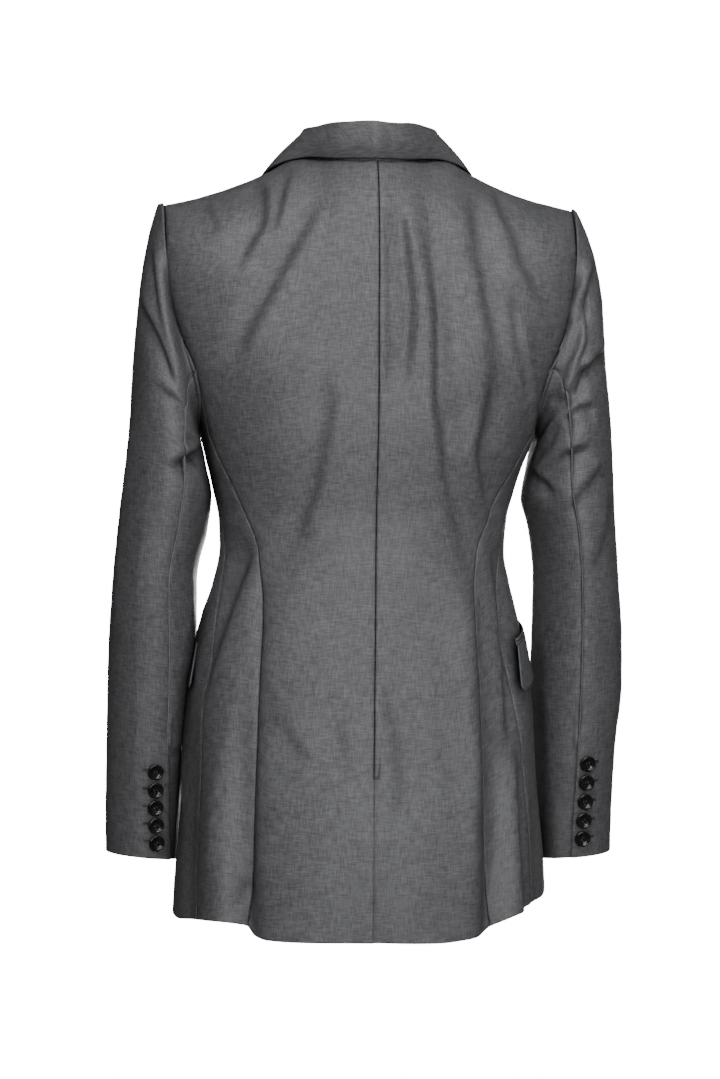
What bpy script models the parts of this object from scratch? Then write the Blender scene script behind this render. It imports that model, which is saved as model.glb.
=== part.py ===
"""A woman's single-breasted blazer, filled out as it hangs on a wearer who is not there.

The frame: +Z is up, the wearer faces -Y and the wearer's left is +X. The origin is the middle of
the neck opening, level with the shoulder line at the neck. Sizes are in millimetres, and MM turns
them into Blender's metres.

The body is one smooth surface, body_point(angle, height): a stack of rings that are rounded
ellipses, with the shoulders rolled over at the top. The angle is 0 at the centre back, 90 at the
side and 180 at the centre front. Each panel is the stretch of that surface between two seams, so
the panels meet edge to edge. The sleeves start from the armhole that the panels leave.
"""

import bmesh
import bpy
import numpy as np
from mathutils import Vector

MM = 0.001
CLOTH = 1.5  # thickness of the cloth with its interfacing
DOUBLE_CLOTH = 2.0  # lapels, collar and flaps are two layers
SEAM_GAP = 0.6  # between two pieces along a seam
LIE_GAP = 0.7  # under a piece that lies on another one
LEFT, RIGHT = 1, -1  # the wearer's side, as the sign of x


def table(names, rows):
    """A table with named columns, one row for each section."""
    return dict(zip(names.split(), np.array(rows, float).T))


def smooth(xs, ys):
    """A smooth function through points that never overshoots them."""
    order = np.argsort(xs)
    xs, ys = np.asarray(xs, float)[order], np.asarray(ys, float)[order]
    step = np.diff(xs)
    rise = np.diff(ys) / step
    slope = np.concatenate([rise[:1], np.zeros(len(xs) - 2), rise[-1:]])
    for i in range(1, len(xs) - 1):
        if rise[i - 1] * rise[i] > 0:
            before, after = 2 * step[i] + step[i - 1], step[i] + 2 * step[i - 1]
            slope[i] = (before + after) / (before / rise[i - 1] + after / rise[i])

    def value(x):
        x = np.clip(x, xs[0], xs[-1])
        i = np.clip(np.searchsorted(xs, x, side="right") - 1, 0, len(step) - 1)
        t = (x - xs[i]) / step[i]
        bend = step[i] * t * (1 - t) * ((1 - t) * slope[i] - t * slope[i + 1])
        return ys[i] + (ys[i + 1] - ys[i]) * t * t * (3 - 2 * t) + bend

    return value


def ramp(x, start, end):
    """0 before start, 1 after end, and smooth between them."""
    t = np.clip((x - start) / (end - start), 0, 1)
    return t * t * (3 - 2 * t)


# --------------------------------------------------------------------------------------
# The body's form
# --------------------------------------------------------------------------------------

HEM = -706.0  # height of the hem at the centre back
BACK_ARMHOLE = -217.0  # height where the back seam runs into the armhole
ROLL = -92.0  # from this height up to 0 a level is a step of the shoulder's roll, not a height
ROLL_START = 20.0  # how far the cloth leans, in degrees, where the roll starts
LEAN_FROM = -150.0  # the cloth starts to lean here
RISE_FROM = -118.0  # from here up the rings bend to meet the roll

RINGS = table(
    "height half_width back front back_power front_power",
    [
        (-706, 169.0, 127, 117, 2.40, 2.35),
        (-660, 167.0, 127, 117, 2.40, 2.35),
        (-614, 164.5, 125, 115, 2.40, 2.35),
        (-568, 162.0, 121, 113, 2.40, 2.35),
        (-522, 160.0, 115, 110, 2.38, 2.35),
        (-476, 156.0, 108, 106, 2.36, 2.33),
        (-441, 150.0, 101, 103, 2.34, 2.30),
        (-415, 144.5, 96, 101, 2.32, 2.30),
        (-388, 137.5, 91, 98, 2.30, 2.30),
        (-357, 131.5, 88, 97, 2.30, 2.30),
        (-330, 133.0, 89, 101, 2.32, 2.30),
        (-302, 139.5, 93, 109, 2.38, 2.32),
        (-278, 146.0, 97, 116, 2.46, 2.36),
        (-248, 154.5, 101, 121, 2.55, 2.42),
        (-217, 168.0, 103, 124, 2.60, 2.45),
        (-191, 180.0, 104, 123, 2.65, 2.45),
        (-165, 188.0, 104, 118, 2.70, 2.50),
        (-140, 192.5, 102, 110, 2.74, 2.60),
        (-115, 195.5, 98, 100, 2.78, 2.70),
        (-92, 197.5, 90, 90, 2.80, 2.80),
    ],
)
half_width = smooth(RINGS["height"], RINGS["half_width"])
DEPTH = {True: smooth(RINGS["height"], RINGS["back"]), False: smooth(RINGS["height"], RINGS["front"])}
POWER = {
    True: smooth(RINGS["height"], RINGS["back_power"]),
    False: smooth(RINGS["height"], RINGS["front_power"]),
}

# The shoulder line from the middle of the neck out to the sleeve: its height, how far it reaches
# down before the cloth hangs straight, and how far forward the shoulder seam lies.
SHOULDER = table(
    "x ridge drop seam_y",
    [
        (0, 27.5, 86, 6),
        (30, 17.5, 88, 6),
        (50, 7.0, 90, 6),
        (66, 4, 90, 6),
        (96, -12, 84, 4),
        (116, -21, 76, 2),
        (135, -28, 68, 0),
        (163, -36, 58, -2),
        (181, -40, 50, -3),
        (198, -42.5, 46, -4),
    ],
)
ridge = smooth(SHOULDER["x"], SHOULDER["ridge"])
drop = smooth(SHOULDER["x"], SHOULDER["drop"])
seam_y = smooth(SHOULDER["x"], SHOULDER["seam_y"])
NECK_X = 66.0  # where the shoulder seam meets the neck
NECK_LEAN = 50.0  # how far, in degrees, the cloth has rolled at the centre back neck

# The hem's height above HEM round the body: it climbs towards the sides and the fronts.
HEM_RISE = table(
    "angle left right",
    [
        (0, 0, 0),
        (25, 0, -1),
        (38, 1, 2),
        (45, 4, 6),
        (49, 13, 12),
        (57, 16, 22),
        (70, 14, 28),
        (85, 11, 33),
        (95, 12, 46),
        (110, 14, 44),
        (150, 18, 24),
        (190, 18, 18),
    ],
)
HEM_RISE_ENDS = -560.0
hem_rise = {
    LEFT: smooth(HEM_RISE["angle"], HEM_RISE["left"]),
    RIGHT: smooth(HEM_RISE["angle"], HEM_RISE["right"]),
}

# The flares below the waist: where each fold runs, from which height, how far out (+) or in (-)
# it stands at the hem, and half its width in degrees.
FLARES = table(
    "angle_at_waist angle_at_hem starts out width",
    [
        (57, 47, -372, -9.0, 5.0),
        (66, 57, -385, 6.0, 7.0),
        (80, 72, -400, -4.0, 6.0),
        (100, 96, -420, 4.0, 12.0),
        (140, 132, -430, -5.0, 9.0),
    ],
)
FLARE_TOP = -357.0
# The body below the shoulders hangs a little towards the wearer's left.
SWAY = 4.2
SWAY_LEVELS = (-380, -150)


def ring_point(angle, height):
    """A point of a ring, as x and y, in the direction of an angle from the centre back."""
    sine, cosine = np.sin(np.radians(angle)), np.cos(np.radians(angle))
    power = np.where(cosine >= 0, POWER[True](height), POWER[False](height))
    depth = np.where(cosine >= 0, DEPTH[True](height), DEPTH[False](height))
    reach = (np.abs(sine) / half_width(height)) ** power + (np.abs(cosine) / depth) ** power
    radius = reach ** (-1 / power)
    return radius * sine, radius * cosine


def angle_at(x, height, behind):
    """The angle of the point of a ring that is x from the middle, behind or in front."""
    power, wide = POWER[behind](height), half_width(height)
    share = np.clip(1 - np.clip(np.abs(x) / wide, 0, 1) ** power, 0, 1)
    turn = np.degrees(np.arctan2(x, DEPTH[behind](height) * share ** (1 / power)))
    return turn if behind else 180 - turn


def angle_of_depth(y, height):
    """The angle of the point of a ring that is y behind the middle, or in front of it."""
    behind = np.asarray(y) >= 0
    power = np.where(behind, POWER[True](height), POWER[False](height))
    depth = np.where(behind, DEPTH[True](height), DEPTH[False](height))
    x = half_width(height) * (1 - (np.abs(y) / depth) ** power) ** (1 / power)
    return np.degrees(np.arctan2(x, y))


def flare(angle, height):
    """How far the folds below the waist push the cloth out at a point."""
    low = np.clip((FLARE_TOP - height) / (FLARE_TOP - HEM), 0, 1)
    total = np.zeros(np.broadcast(angle, height).shape)
    for at_waist, at_hem, starts, out, width in zip(*FLARES.values()):
        middle = at_waist + (at_hem - at_waist) * low
        grown = ramp(-height, -starts, -HEM)
        total += out * grown * np.exp(-(((angle - middle) / width) ** 2))
    return total


def sway(z):
    return SWAY * (1 - ramp(z, *SWAY_LEVELS))


def body_point(angle, level, side=LEFT, out=0.0):
    """A point of the body's outer face at an angle and level, moved out from it by out."""
    angle, level = np.broadcast_arrays(np.asarray(angle, float), np.asarray(level, float))
    height = np.minimum(level, ROLL)
    x, y = ring_point(angle, height)
    nx = np.sign(x) * np.abs(x) / half_width(height) ** 2
    ny = y / np.where(y > 0, DEPTH[True](height), DEPTH[False](height)) ** 2
    size = np.hypot(nx, ny)
    nx, ny = nx / size, ny / size
    push = flare(angle, height)
    x, y = x + push * nx, y + push * ny
    rise = hem_rise[side](angle) * (1 - ramp(height, HEM, HEM_RISE_ENDS))
    across = np.abs(x)
    start = ridge(across) - drop(across)
    hung = height + rise + (start - ROLL) * ramp(level, RISE_FROM, ROLL)
    lean = lean_at(x, y, level)
    y_rolled, z_rolled = rolled(across, y, lean)
    on_roll = level > ROLL
    low_lean = ROLL_START * ramp(level, LEAN_FROM, ROLL)
    lean = np.where(on_roll, lean, low_lean)
    y = np.where(on_roll, y_rolled, y) + out * ny * np.cos(np.radians(lean))
    z = np.where(on_roll, z_rolled, hung) + out * np.sin(np.radians(lean))
    x = side * (x + out * nx * np.cos(np.radians(lean))) + sway(z)
    return np.stack([x, y, z], axis=-1)


def lean_at(x, y, level):
    """How far, in degrees, the shoulder has rolled over at a level. The neck stops it short."""
    share = np.clip(1 - level / ROLL, 0, 1)
    neck = NECK_LEAN + (90 - NECK_LEAN) * np.clip(np.abs(x) / NECK_X, 0, 1) ** 2
    end = np.where(y > 0, neck, 90)
    return ROLL_START + (end - ROLL_START) * share


def rolled(across, y, lean):
    """Depth and height of the cloth where the shoulder has rolled over by lean degrees."""
    start, lean = np.radians(ROLL_START), np.radians(lean)
    shrink = np.cos(lean) / np.cos(start)
    y_there = seam_y(across) + (y - seam_y(across)) * shrink
    z_there = ridge(across) - drop(across) * (1 - np.sin(lean)) / (1 - np.sin(start))
    return y_there, z_there


# --------------------------------------------------------------------------------------
# The seams
# --------------------------------------------------------------------------------------

# The centre back seam has been pulled towards the wearer's right at the waist.
CENTRE_SEAM = table(
    "height x",
    [(-706, 0.5), (-600, 1), (-480, 3), (-363, 5), (-250, 3), (-150, 1), (-92, 2), (0, 2.5)],
)
centre_seam_x = smooth(CENTRE_SEAM["height"], CENTRE_SEAM["x"])

# The seam between back and side panel runs from the armhole in to the waist and out to the hem.
BACK_SEAM = table(
    "height x",
    [
        (-706, 115),
        (-648, 111),
        (-588, 108),
        (-529, 104.5),
        (-469, 101),
        (-420, 98),
        (-395, 97.5),
        (-375, 98.5),
        (-358, 101),
        (-340, 106),
        (-322, 114),
        (-295, 127),
        (-274, 138),
        (-248, 149),
        (-217, 155.8),
    ],
)
back_seam_x = smooth(BACK_SEAM["height"], BACK_SEAM["x"])

# The side seam hangs further round to the back on the right than on the left.
SIDE_SEAM = table(
    "height left right",
    [
        (-706, 68, 69),
        (-640, 68.5, 69),
        (-560, 69.5, 68),
        (-500, 71.5, 66.5),
        (-450, 74, 66),
        (-400, 77, 70),
        (-357, 80, 75),
        (-248, 90, 90),
    ],
)
side_seam = {
    LEFT: smooth(SIDE_SEAM["height"], SIDE_SEAM["left"]),
    RIGHT: smooth(SIDE_SEAM["height"], SIDE_SEAM["right"]),
}

# The armhole's edge, by level: how deep it lies behind (back) and in front of (front) the middle.
ARMHOLE = table(
    "level back front",
    [
        (-248, 0, 0),
        (-246.5, 14, -13),
        (-242, 28, -25),
        (-234, 40, -37),
        (-226, 48, -45),
        (-217, 53, -51),
        (-204, 58, -56),
        (-191, 60, -58),
        (-168, 56, -57),
        (-145, 50, -52),
        (-118, 45, -43),
        (-92, 42, -36),
    ],
)
armhole_y = {
    True: smooth(ARMHOLE["level"], ARMHOLE["back"]),
    False: smooth(ARMHOLE["level"], ARMHOLE["front"]),
}


def armhole_angle(level, behind):
    height = np.minimum(level, ROLL)
    return angle_of_depth(armhole_y[behind](height), height)


def back_seam_angle(level):
    return angle_at(back_seam_x(level), level, True)


# The front edge, as x past the middle (-) or short of it (+): rounded at the hem, straight up to
# the break of the lapel, and then the line along which the lapel rolls back to the neck.
FRONT_EDGE = table(
    "height x",
    [
        (-706, 26),
        (-702, 12),
        (-694, 0),
        (-682, -10),
        (-662, -17),
        (-630, -20),
        (-345, -20),
        (-330, -18.5),
        (-300, -11),
        (-200, 15),
        (-100, 41.5),
        (-92, 43.5),
        (-60, 52),
        (-35, 58),
        (0, 66),
    ],
)
front_edge_x = smooth(FRONT_EDGE["height"], FRONT_EDGE["x"])


def front_edge_angle(level):
    return angle_at(front_edge_x(level), np.minimum(level, ROLL), False)


# --------------------------------------------------------------------------------------
# Making solids
# --------------------------------------------------------------------------------------

FINISHES = {
    "suiting": ((0.115, 0.115, 0.118), 0.62, 0.0),
    "button": ((0.012, 0.012, 0.013), 0.22, 0.0),
}
BODY_AXIS = (0, 0, -0.35)


def material(name):
    """A Principled material with that finish's colour, roughness and metallic value."""
    if name in bpy.data.materials:
        return bpy.data.materials[name]
    colour, roughness, metallic = FINISHES[name]
    made = bpy.data.materials.new(name)
    made.use_nodes = True
    shader = made.node_tree.nodes["Principled BSDF"]
    shader.inputs["Base Color"].default_value = (*colour, 1)
    shader.inputs["Roughness"].default_value = roughness
    shader.inputs["Metallic"].default_value = metallic
    return made


def add_object(name, mesh, finish):
    obj = bpy.data.objects.new(name, mesh)
    mesh.materials.append(material(finish))
    collection.objects.link(obj)
    return obj


def cloth(name, grid, axis=BODY_AXIS, thickness=CLOTH):
    """A wall of cloth: an open surface through rows of points, thickened inwards by Solidify.

    axis is a point of the frame, in metres, that the outer face looks away from.
    """
    bm = bmesh.new()
    rows = [[bm.verts.new(point * MM) for point in row] for row in grid]
    for low, high in zip(rows, rows[1:]):
        for a, b, c, d in zip(low, low[1:], high[1:], high):
            bm.faces.new((a, b, c, d))
    bmesh.ops.remove_doubles(bm, verts=bm.verts, dist=1e-7)
    bm.normal_update()
    away = sum(
        face.calc_area() * face.normal.dot(face.calc_center_median() - Vector(axis))
        for face in bm.faces
    )
    if away < 0:
        bmesh.ops.reverse_faces(bm, faces=bm.faces)
    mesh = bpy.data.meshes.new(name)
    bm.to_mesh(mesh)
    bm.free()
    mesh.shade_smooth()
    obj = add_object(name, mesh, "suiting")
    wall = obj.modifiers.new("wall", "SOLIDIFY")
    wall.thickness = thickness * MM
    wall.offset = -1
    return obj


def side_name(side):
    return "left" if side == LEFT else "right"


def edge_shares(count, length, gap_last=True):
    """Even steps from 0 to 1 over a length, with half the seam gap left free at its edges."""
    gap = SEAM_GAP / 2 / length
    return np.linspace(gap, 1 - (gap if gap_last else 0), count)


# --------------------------------------------------------------------------------------
# The body panels
# --------------------------------------------------------------------------------------

LOW_LEVELS = [-706, -668, -628, -594, -560, -530, -500, -470, -440, -412, -385, -357, -330, -304]
BACK_LEVELS = LOW_LEVELS + [-278, -248, -217, -191, -168, -145, -118, -98]
ROLL_LEVELS = [-92, -69, -46, -23, -0.7]
BACK_SHARES = [0.002, 0.17, 0.342, 0.5, 0.66, 0.83, 0.998]  # the third meets the neck's corner

VENT_TOP = -560.0
VENT_LAP = 36.0  # how far the right back runs on under the left one
VENT_SLOPE = 34.0  # the lap's top edge slants down by this much
VENT_STEP = 2.4  # how far it lies below the left back's face
VENT_SINK_WIDTH = 30.0  # the right back sinks to the lap over this width
VENT_SINK_EDGE = 6.0
VENT_SINK_RISE = 30.0  # and over this height above the vent


def back_panel(side):
    """One half of the back, from the centre back seam to the back seam and the armhole."""
    levels = BACK_LEVELS + ROLL_LEVELS
    grid = []
    for level in levels:
        height = min(level, ROLL)
        edge = back_seam_angle(level) if level <= BACK_ARMHOLE else armhole_angle(level, True)
        edge_x, _ = ring_point(edge, height)
        middle_x = -side * centre_seam_x(level)
        x = middle_x + (edge_x - middle_x) * np.array(BACK_SHARES)
        sink = 0.0
        if side == RIGHT:
            dip = VENT_STEP * (1 - ramp(level, VENT_TOP, VENT_TOP + VENT_SINK_RISE))
            sink = dip * (1 - ramp(x - middle_x, VENT_SINK_EDGE, VENT_SINK_WIDTH))
        grid.append(body_point(angle_at(x, height, True), level, side, -sink))
    grid = np.array(grid)
    if side == RIGHT:
        grid = with_vent_lap(grid, levels)
    return cloth(f"back_{side_name(side)}", grid)


def with_vent_lap(grid, levels, columns=3):
    """The right back with its vent extension, which runs on past the middle under the left."""
    lap = []
    for row, level in zip(grid, levels):
        width = VENT_LAP * np.clip((VENT_TOP - level) / VENT_SLOPE, 0, 1)
        if width == 0:
            lap.append(np.repeat(row[:1], columns, axis=0))
            continue
        x = width * np.linspace(1, 0, columns, endpoint=False) - centre_seam_x(level)
        lap.append(body_point(angle_at(x, level, True), level, LEFT, -VENT_STEP))
    return np.concatenate([np.array(lap), grid], axis=1)


def side_panel(side, columns=6):
    """The panel under the arm, from the back seam to the side seam and up to the armhole."""
    shares = edge_shares(columns, 50)
    rows = []
    for level in LOW_LEVELS + [-278]:
        first, last = back_seam_angle(level), side_seam[side](level)
        rows.append((first + (last - first) * shares, np.full(columns, float(level))))
    top_y = armhole_y[True](BACK_ARMHOLE) * (1 - shares)
    rising = ARMHOLE["level"] <= BACK_ARMHOLE
    top = smooth(ARMHOLE["back"][rising], ARMHOLE["level"][rising])(top_y)
    armhole = (angle_of_depth(top_y, top), top)
    low_angles, low_levels = rows[-1]
    middle = (low_levels + armhole[1]) / 2
    first, last = back_seam_angle(middle[0]), side_seam[side](middle[-1])
    rows.append((first + (last - first) * shares, middle))
    rows.append(armhole)
    grid = np.array([body_point(angles, levels, side) for angles, levels in rows])
    return cloth(f"side_{side_name(side)}", grid)


FRONT_SINK = 6.5  # how far the left front lies below the right one where they cross
FRONT_SINK_WIDTH = 80.0
HEM_CORNER_LEVELS = [-706, -697, -684]
# Above the side seam a front's rows run from a point of the armhole to a level of its edge.
FRONT_ROWS = table(
    "armhole_y level",
    [
        (0, -252),
        (-13, -241),
        (-25, -230),
        (-37, -217),
        (-45, -205),
        (-51, -193),
        (-56, -181),
        (-58, -168),
    ],
)
FRONT_ROWS_ABOVE = [(-168, -152), (-145, -133), (-118, -112), (-98, -98)]


def front_sink(side, x):
    """The left front passes under the right one."""
    return FRONT_SINK * (1 - ramp(x, -5, FRONT_SINK_WIDTH)) if side == LEFT else 0.0


def front_ends(side):
    """Where each of the front's rows starts, at the side or armhole, and ends, at its edge."""
    for level in HEM_CORNER_LEVELS + LOW_LEVELS[1:] + [-278]:
        yield side_seam[side](level), level, level
    height_of = smooth(-ARMHOLE["front"][:8], ARMHOLE["level"][:8])
    for y, edge_level in zip(*FRONT_ROWS.values()):
        height = height_of(-y)
        yield angle_of_depth(y, height), height, edge_level
    for armhole_level, edge_level in FRONT_ROWS_ABOVE:
        yield armhole_angle(armhole_level, False), armhole_level, edge_level
    for level in ROLL_LEVELS:
        yield armhole_angle(level, False), level, level


def front_panel(side, columns=10):
    """One front, from the side seam and armhole to its edge and the lapel's roll line."""
    shares = edge_shares(columns, 230, gap_last=False)
    grid = []
    for first_angle, first_level, last_level in front_ends(side):
        last_angle = front_edge_angle(last_level)
        angles = first_angle + (last_angle - first_angle) * shares
        levels = first_level + (last_level - first_level) * shares
        x, _ = ring_point(angles, np.minimum(levels, ROLL))
        grid.append(body_point(angles, levels, side, -front_sink(side, x)))
    return cloth(f"front_{side_name(side)}", np.array(grid))


# --------------------------------------------------------------------------------------
# The sleeves
# --------------------------------------------------------------------------------------

# Rings of the sleeve, fanned out from the armhole to the horizontal. A ring's angle is 0 on the
# outer side, 90 behind, 180 on the inner side and 270 in front.
SLEEVE = table(
    "ring outer_left outer_right outer_z inner_left inner_right inner_z middle_y half_depth",
    [
        (0, 195, 195, -42, 155, 155, -249, 0, 58),
        (1, 203, 206, -54, 155, 155, -252, 0, 60),
        (2, 208, 213, -85, 154.5, 154.5, -256, 1, 63),
        (3, 212, 217.5, -130, 153, 153, -262, 2, 66),
        (4, 216, 221, -180, 150.5, 150.5, -272, 1, 67),
        (5, 219.5, 226, -232, 147.5, 147.5, -287, -1, 67.5),
        (6, 224.5, 229.5, -285, 143.5, 144.5, -308, -4, 67),
        (7, 230, 233, -335, 147, 153, -340, -9, 65),
        (8, 234.5, 237, -385, 156, 158, -385, -15, 62.5),
        (9, 237, 242, -435, 155.5, 158, -435, -22, 60),
        (10, 238, 243.5, -485, 158, 158.5, -485, -30, 57.5),
        (11, 238.5, 239, -540, 162, 162, -540, -38, 55),
        (12, 238.5, 237.5, -592, 164, 163, -592, -46, 52.5),
        (13, 238, 237, -640, 165, 163, -646, -53, 50),
    ],
)
FREE_RING = 3.0  # from this ring on the sleeve no longer follows the armhole
SLEEVE_CLEAR = 1.4  # between the sleeve and the body under the arm and at the armhole
POCKET_CLEAR = 3.6  # the sleeve lies this much further out where the pocket is under it
POCKET_CLEAR_LEVELS = (-395, -430)


def sleeve_column(name):
    return smooth(SLEEVE["ring"], SLEEVE[name])


sleeve_size = {name: sleeve_column(name) for name in SLEEVE}


def armhole_loop(side, points=181):
    """The armhole's edge from the shoulder down the back, and up the front, as a function of
    the sleeve's angle."""
    halves = []
    for behind in (True, False):
        levels = np.concatenate([np.linspace(0, ROLL, 30), ARMHOLE["level"][::-1][1:]])
        fine = np.interp(np.linspace(0, len(levels) - 1, points), range(len(levels)), levels)
        edge = body_point(armhole_angle(fine, behind), fine, side)
        far = np.concatenate([[0], np.cumsum(np.linalg.norm(np.diff(edge, axis=0), axis=1))])
        halves.append((far / far[-1] * 180, edge))

    def loop(angle):
        angle = np.asarray(angle, float) % 360
        behind = angle <= 180
        turn = np.where(behind, angle, 360 - angle)
        ends = [
            np.stack([np.interp(turn, far, edge[:, axis]) for axis in range(3)], axis=-1)
            for far, edge in halves
        ]
        return np.where(behind[..., None], ends[0], ends[1])

    return loop


LOOPS = {side: armhole_loop(side) for side in (LEFT, RIGHT)}


def sleeve_point(angle, ring, side, out=0.0):
    """A point of the sleeve's outer face, moved out from it by out."""
    angle, ring = np.broadcast_arrays(np.asarray(angle, float), np.asarray(ring, float))
    name = side_name(side)
    outer = np.stack([sleeve_size[f"outer_{name}"](ring), sleeve_size["outer_z"](ring)])
    inner = np.stack([sleeve_size[f"inner_{name}"](ring), sleeve_size["inner_z"](ring)])
    middle, half = (outer + inner) / 2, (outer - inner) / 2
    long = np.hypot(*half)
    cosine, sine = np.cos(np.radians(angle)), np.sin(np.radians(angle))
    deep = sleeve_size["half_depth"](ring)
    nx, ny = cosine / long, sine / deep
    size = np.hypot(nx, ny)
    across = (cosine * long + out * nx / size) / long
    x, z = middle[0] + across * half[0], middle[1] + across * half[1]
    y = sleeve_size["middle_y"](ring) + sine * deep + out * ny / size
    free = np.stack([side * x, y, z], axis=-1)
    clear = np.array([side * SLEEVE_CLEAR, 0, 0])
    share = ramp(ring, 0, FREE_RING)[..., None]
    point = (LOOPS[side](angle) + clear) * (1 - share) + free * share
    return clear_of_body(point, side)


def clear_of_body(point, side):
    """A point of the sleeve, moved out where it would touch the body under the arm."""
    y, z = point[..., 1], point[..., 2]
    x = side * (point[..., 0] - sway(z))
    depth = np.where(y > 0, DEPTH[True](z), DEPTH[False](z))
    power = np.where(y > 0, POWER[True](z), POWER[False](z))
    share = np.clip(1 - (np.abs(y) / depth) ** power, 0, 1)
    clear = SLEEVE_CLEAR + POCKET_CLEAR * ramp(-z, *(-level for level in POCKET_CLEAR_LEVELS))
    least = half_width(z) * share ** (1 / power) + clear
    moved = np.where(z < CONTACT_TOP, np.maximum(x, least), x)
    return np.stack([side * moved + sway(z), y, z], axis=-1)


CONTACT_TOP = -150.0  # below this the sleeve lies against the body under the arm
CAP_RINGS = [0, 0.6, 1.2, 2, 3, 4, 5, 6]
ARM_RINGS = [7, 8, 9, 10, 11, 11.5, 12, 12.5, 13]
# The ring angle of the seam behind the elbow, from the armhole to the cuff.
SLEEVE_BACK_SEAM = table(
    "ring left right",
    [(0, 124, 122), (2, 120, 112), (5, 112, 99), (8, 109, 95), (10.5, 116, 96), (13, 128, 100)],
)
sleeve_seam = {
    LEFT: smooth(SLEEVE_BACK_SEAM["ring"], SLEEVE_BACK_SEAM["left"]),
    RIGHT: smooth(SLEEVE_BACK_SEAM["ring"], SLEEVE_BACK_SEAM["right"]),
}
SLEEVE_FRONT_SEAM = 236.0
CUFF_VENT_RING = 11.0  # the cuff's vent starts here
CUFF_LAP = 26.0  # degrees that the under sleeve runs on under the top sleeve there
CUFF_STEP = 2.4
CUFF_STEP_RINGS = 0.8  # the under sleeve sinks to its lap over this many rings above the vent
CUFF_SINK_SHARES = (0.02, 0.3)  # and over this share of its width


def sleeve_axis(side):
    return (side * 0.19, -0.01, -0.4)


def top_sleeve(side, columns=15):
    """The outer piece of a sleeve, from the front seam over the shoulder to the back seam."""
    shares = edge_shares(columns, 100)
    grid = []
    for ring in CAP_RINGS + ARM_RINGS:
        first, last = SLEEVE_FRONT_SEAM - 360, sleeve_seam[side](ring)
        grid.append(sleeve_point(first + (last - first) * shares, ring, side))
    return cloth(f"sleeve_top_{side_name(side)}", np.array(grid), sleeve_axis(side))


def under_sleeve(side, columns=8, lap_columns=2):
    """The piece of a sleeve under the arm, with the lap of the cuff's vent."""
    shares = edge_shares(columns, 55)
    grid = []
    for ring in CAP_RINGS + ARM_RINGS:
        first, last = sleeve_seam[side](ring), SLEEVE_FRONT_SEAM
        angles = first + (last - first) * shares
        step = CUFF_STEP * ramp(ring, CUFF_VENT_RING - CUFF_STEP_RINGS, CUFF_VENT_RING)
        sink = step * (1 - ramp(shares, *CUFF_SINK_SHARES))
        row = sleeve_point(angles, ring, side, -sink)
        if ring > CUFF_VENT_RING:
            lap_angles = first + CUFF_LAP * np.linspace(-1, 0, lap_columns, endpoint=False)
            lap = sleeve_point(lap_angles, ring, side, -CUFF_STEP)
        else:
            lap = np.repeat(row[:1], lap_columns, axis=0)
        grid.append(np.concatenate([lap, row]))
    return cloth(f"sleeve_under_{side_name(side)}", np.array(grid), sleeve_axis(side))


# --------------------------------------------------------------------------------------
# Lapels and collar
# --------------------------------------------------------------------------------------

# The lapel lies on the front. Its rows run square to the roll line, from a level of that line to
# a point of the lapel's outer edge. The last row is the gorge seam and the lapel's top edge.
LAPEL = table(
    "roll_level edge_x edge_level",
    [
        (-326, -14, -330),
        (-300, 6, -308),
        (-262, 33, -277),
        (-214, 63, -236),
        (-164, 90, -190),
        (-122, 109, -146),
        (-92, 117, -110),
        (-74, 116, -88),
    ],
)
LAPEL_LIFT = 3.0  # how far the lapel's roll stands off the front
LAPEL_LIFT_LEVELS = (-300, -200)  # it starts above the break and is whole from here up
LAPEL_ROWS = 13


def front_point(x, level, side, out=0.0):
    """A point of a front at x from the middle. The left front runs lower than the right one."""
    angles = angle_at(x, np.minimum(level, ROLL), False)
    return body_point(angles, level, side, out - front_sink(side, x))


def lapel(side, columns=6):
    shares = np.linspace(0.0, 1, columns)
    count = np.arange(len(LAPEL["roll_level"]))
    place = {name: smooth(count, values) for name, values in LAPEL.items()}
    grid = []
    for row in np.linspace(0, count[-1], LAPEL_ROWS):
        roll_level, edge_level = place["roll_level"](row), place["edge_level"](row)
        start = front_edge_x(roll_level)
        x = start + (place["edge_x"](row) - start) * shares
        levels = roll_level + (edge_level - roll_level) * shares
        roll = LAPEL_LIFT * ramp(roll_level, *LAPEL_LIFT_LEVELS) * np.cos(np.radians(90) * shares)
        lift = LIE_GAP + DOUBLE_CLOTH + roll
        grid.append(front_point(x, levels, side, lift))
    return cloth(f"lapel_{side_name(side)}", np.array(grid), thickness=DOUBLE_CLOTH)


# The collar stands up from the neck seam, folds over and falls to its outer edge on the back, the
# shoulders and the fronts. Each row is a cut through it, from the centre back to the lapel.
COLLAR = table(
    "neck_x neck_level fold_x fold_y fold_z edge_x edge_level behind",
    [
        (0, 0, 0, 66, 29.5, 0, -5.0, 1),
        (28, 0, 27, 57, 29.5, 30, -5.2, 1),
        (50, 0, 46, 36, 29.0, 60, -18, 1),
        (62, 0, 57.5, 14, 27.5, 84, -9, 1),
        (65.5, -1.5, 60.5, -12, 23, 98, -8, 0),
        (60, -28, 58, -40, 11, 103, -30, 0),
        (55.5, -50, 54, -64, -13, 104, -52, 0),
        (50.5, -70, 50.5, -81, -41, 106, -80, 0),
    ],
)
COLLAR_LIE = 1.1  # from the body's smooth face to the underside of the collar's edge
NECK_CLEAR = (2.0, 3.0)  # how far inside and above the panels' neck edge the stand starts
COLLAR_NOTCH = 0.62  # the share of the last row where the collar leaves the lapel
COLLAR_TIP_BACK = 0.6  # how many rows short of the last one its free corner lies
COLLAR_BULGE = 3.0  # how far the fall rounds out between its fold and its edge
COLLAR_HEART = (0, 0, 0.015)
# The fold in section, as steps out and up from the fold's line.
COLLAR_FOLD = [(0.0, -1.5), (2.4, 1.0), (5.0, -1.5)]
COLLAR_FALL = [0.3, COLLAR_NOTCH, 1.0]


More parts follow.
